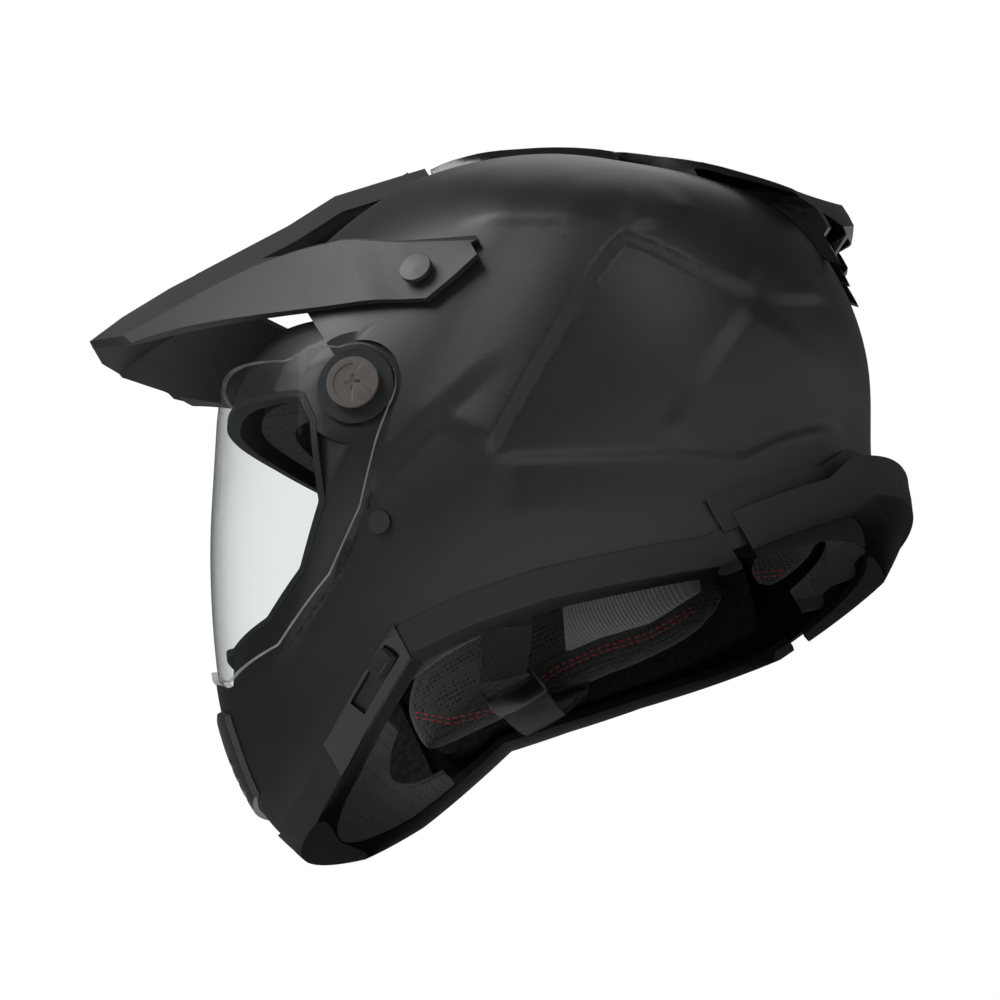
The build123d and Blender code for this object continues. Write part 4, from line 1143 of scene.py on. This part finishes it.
@dataclass
class Studio:
    """Camera, lamps, world and floor."""

    tilt: float = 26.5
    azimuth: float = 103.0
    elevation: float = -17.0
    distance: float = 1.8
    target: tuple = (0.0, -0.019, 0.1084)
    lens: float = 139.32
    sensor: float = 36.0
    far: float = 20.0
    ambient: float = 0.1
    floor_half: float = 3.0
    lamps: tuple = (
        Lamp("key", (0.9, -0.5, 1.8), 1.5, 36.0), Lamp("fill", (1.6, 1.5, 0.9), 1.0, 6.0),
        Lamp("under", (1.4, -0.5, -1.1), 1.0, 4.5), Lamp("back", (-1.2, 0.6, 1.5), 0.9, 3.0))

    def build(self) -> None:
        """Sets up everything around the helmet."""
        bpy.context.scene.view_settings.view_transform = "Standard"
        self.camera()
        self.world()
        self.floor()
        for lamp in self.lamps:
            lamp.build(Vector(self.target))

    def axes(self) -> tuple[Vector, Vector, Vector]:
        """Right, up and backward directions of the photograph's camera."""
        turn, rise = radians(self.azimuth), radians(self.elevation)
        lean = Matrix.Rotation(-radians(self.tilt), 3, "X")
        away = lean @ Vector((sin(turn) * cos(rise), -cos(turn) * cos(rise), sin(rise)))
        right = lean @ Vector((cos(turn), sin(turn), 0.0))
        return right, away.cross(right), away

    def camera(self) -> None:
        """Puts the camera where the photograph was taken from."""
        right, up, away = self.axes()
        pose = Matrix((right, up, away)).transposed().to_4x4()
        pose.translation = Vector(self.target) + away * self.distance
        data = bpy.data.cameras.new("camera")
        data.lens = self.lens
        data.sensor_width = self.sensor
        data.clip_end = self.far
        made = bpy.data.objects.new("camera", data)
        made.matrix_world = pose
        bpy.context.scene.collection.objects.link(made)
        bpy.context.scene.camera = made

    def world(self) -> None:
        """White behind the helmet, softer light on it."""
        world = bpy.data.worlds.new("studio")
        bpy.context.scene.world = world
        tree = Tree(world)
        path = tree.node("ShaderNodeLightPath").outputs
        seen = Num(tree, path["Is Camera Ray"]).apply("MAXIMUM", path["Is Transmission Ray"])
        strength = tree.node("ShaderNodeMapRange", None,
                             {"Value": seen, "To Min": self.ambient, "To Max": 1.0})
        tree.output(tree.shader("Background", {"Color": (1.0, 1.0, 1.0, 1.0),
                                               "Strength": strength.outputs[0]}), "OutputWorld")

    def floor(self) -> None:
        """Pale floor that shows only from above, as the photograph looks up from under it."""
        mesh = bpy.data.meshes.new("floor")
        corners = [(x * self.floor_half, y * self.floor_half, 0)
                   for x, y in ((-1, -1), (1, -1), (1, 1), (-1, 1))]
        mesh.from_pydata(corners, [], [(0, 1, 2, 3)])
        mesh.materials.append(Paper("floor_pale", grey(0.8), grey(0.84)).make())
        made = bpy.data.objects.new("floor", mesh)
        bpy.context.scene.collection.objects.link(made)


@dataclass
class HardParts:
    """Rigid pieces that keep their CAD form, with rounded surfaces and softened edges.

    Each group has a slot, the width of its softened edges in millimetres and its nodes. Moving
    nodes, apart from the visors, come with the body that carries them.
    """

    moving: tuple = (("top_vent_slider", "top_vent_slider"), ("chin_vent_knob", "chin_vent_knob"),
                     ("lever_knob", "lever_knob"), ("buckle_lever", "buckle_lever"),
                     ("pull_tab", "buckle_lever"))
    groups: tuple = (
        (Slot.RUBBER, 0.9, ("base_trim",)),
        (Slot.RUBBER, 1.4, ("neck_skirt",)),
        (Slot.RUBBER, 0.0, ("eye_port_seal", "breath_deflector")),
        (Slot.GRILLE, 0.0, ("exhaust_grille",)),
        (Slot.GLOSS, 0.7, ("rear_spoiler", "top_vent_cover", "chin_vent_cover", "lever_housing")),
        (Slot.TRIM, 0.3, ("top_vent_slider", "chin_vent_knob", "lever_knob")),
        (Slot.PIVOT, 0.3, ("pivot_disc_left", "pivot_disc_right")),
        (Slot.TRIM, 0.2, ("pivot_plate_left", "pivot_plate_right")),
        (Slot.TRIM, 0.4, ("peak_screw_left", "peak_screw_right", "peak_screw_centre")),
        (Slot.TRIM, 0.0, ("chin_bar_plug_left", "chin_bar_plug_right",
                          "sun_visor_pin_left", "sun_visor_pin_right")),
        (Slot.FOAM, 0.0, ("impact_liner", "chin_liner", "cheek_block_left", "cheek_block_right")),
        (Slot.MESH, 0.0, ("chin_curtain",)),
        (Slot.WEBBING, 0.4, ("chin_strap_left", "chin_strap_right")),
        (Slot.BUCKLE, 0.6, ("buckle_body",)),
        (Slot.BUCKLE, 0.4, ("buckle_lever",)),
        (Slot.TAB, 0.4, ("pull_tab",)),
    )

    def build(self) -> None:
        """Makes every rigid piece, each on the body that moves it or else on the shell."""
        body_of = dict(self.moving)
        for slot, edge, nodes in self.groups:
            for node in nodes:
                Piece(node, slot, edge * MM, body_of.get(node, "shell")).build()
        PeakSkin("peak", Slot.PEAK, 0.6 * MM, longest=5.0 * MM, smooth=22.0, curved=False).build()
        ShellSkin("outer_shell", Slot.SHELL).build()
        SheetPiece("visor", Slot.CLEAR, body="visor").build()
        SheetPiece("sun_visor", Slot.TINT, body="sun_visor").build()


@dataclass
class Padding:
    """The removable lining."""

    thick: tuple = ("cheek_pad_left", "cheek_pad_right", "neck_roll")

    def build(self) -> None:
        """Makes every pad, the crown's thinner than the others."""
        for node in self.thick:
            Pad(node).build()
        Pad("crown_liner", voxel=3.0 * MM, cap=2.0 * MM, shrink=1.0 * MM, fill=0.4).build()


def main() -> None:
    """Builds the studio and the helmet's pieces in order."""
    logging.basicConfig(level=logging.INFO)
    studio = Studio()
    studio.build()
    HardParts().build()
    Padding().build()
    Trimming(studio).build()


WARDROBE = Wardrobe()

if __name__ == "__main__":
    main()
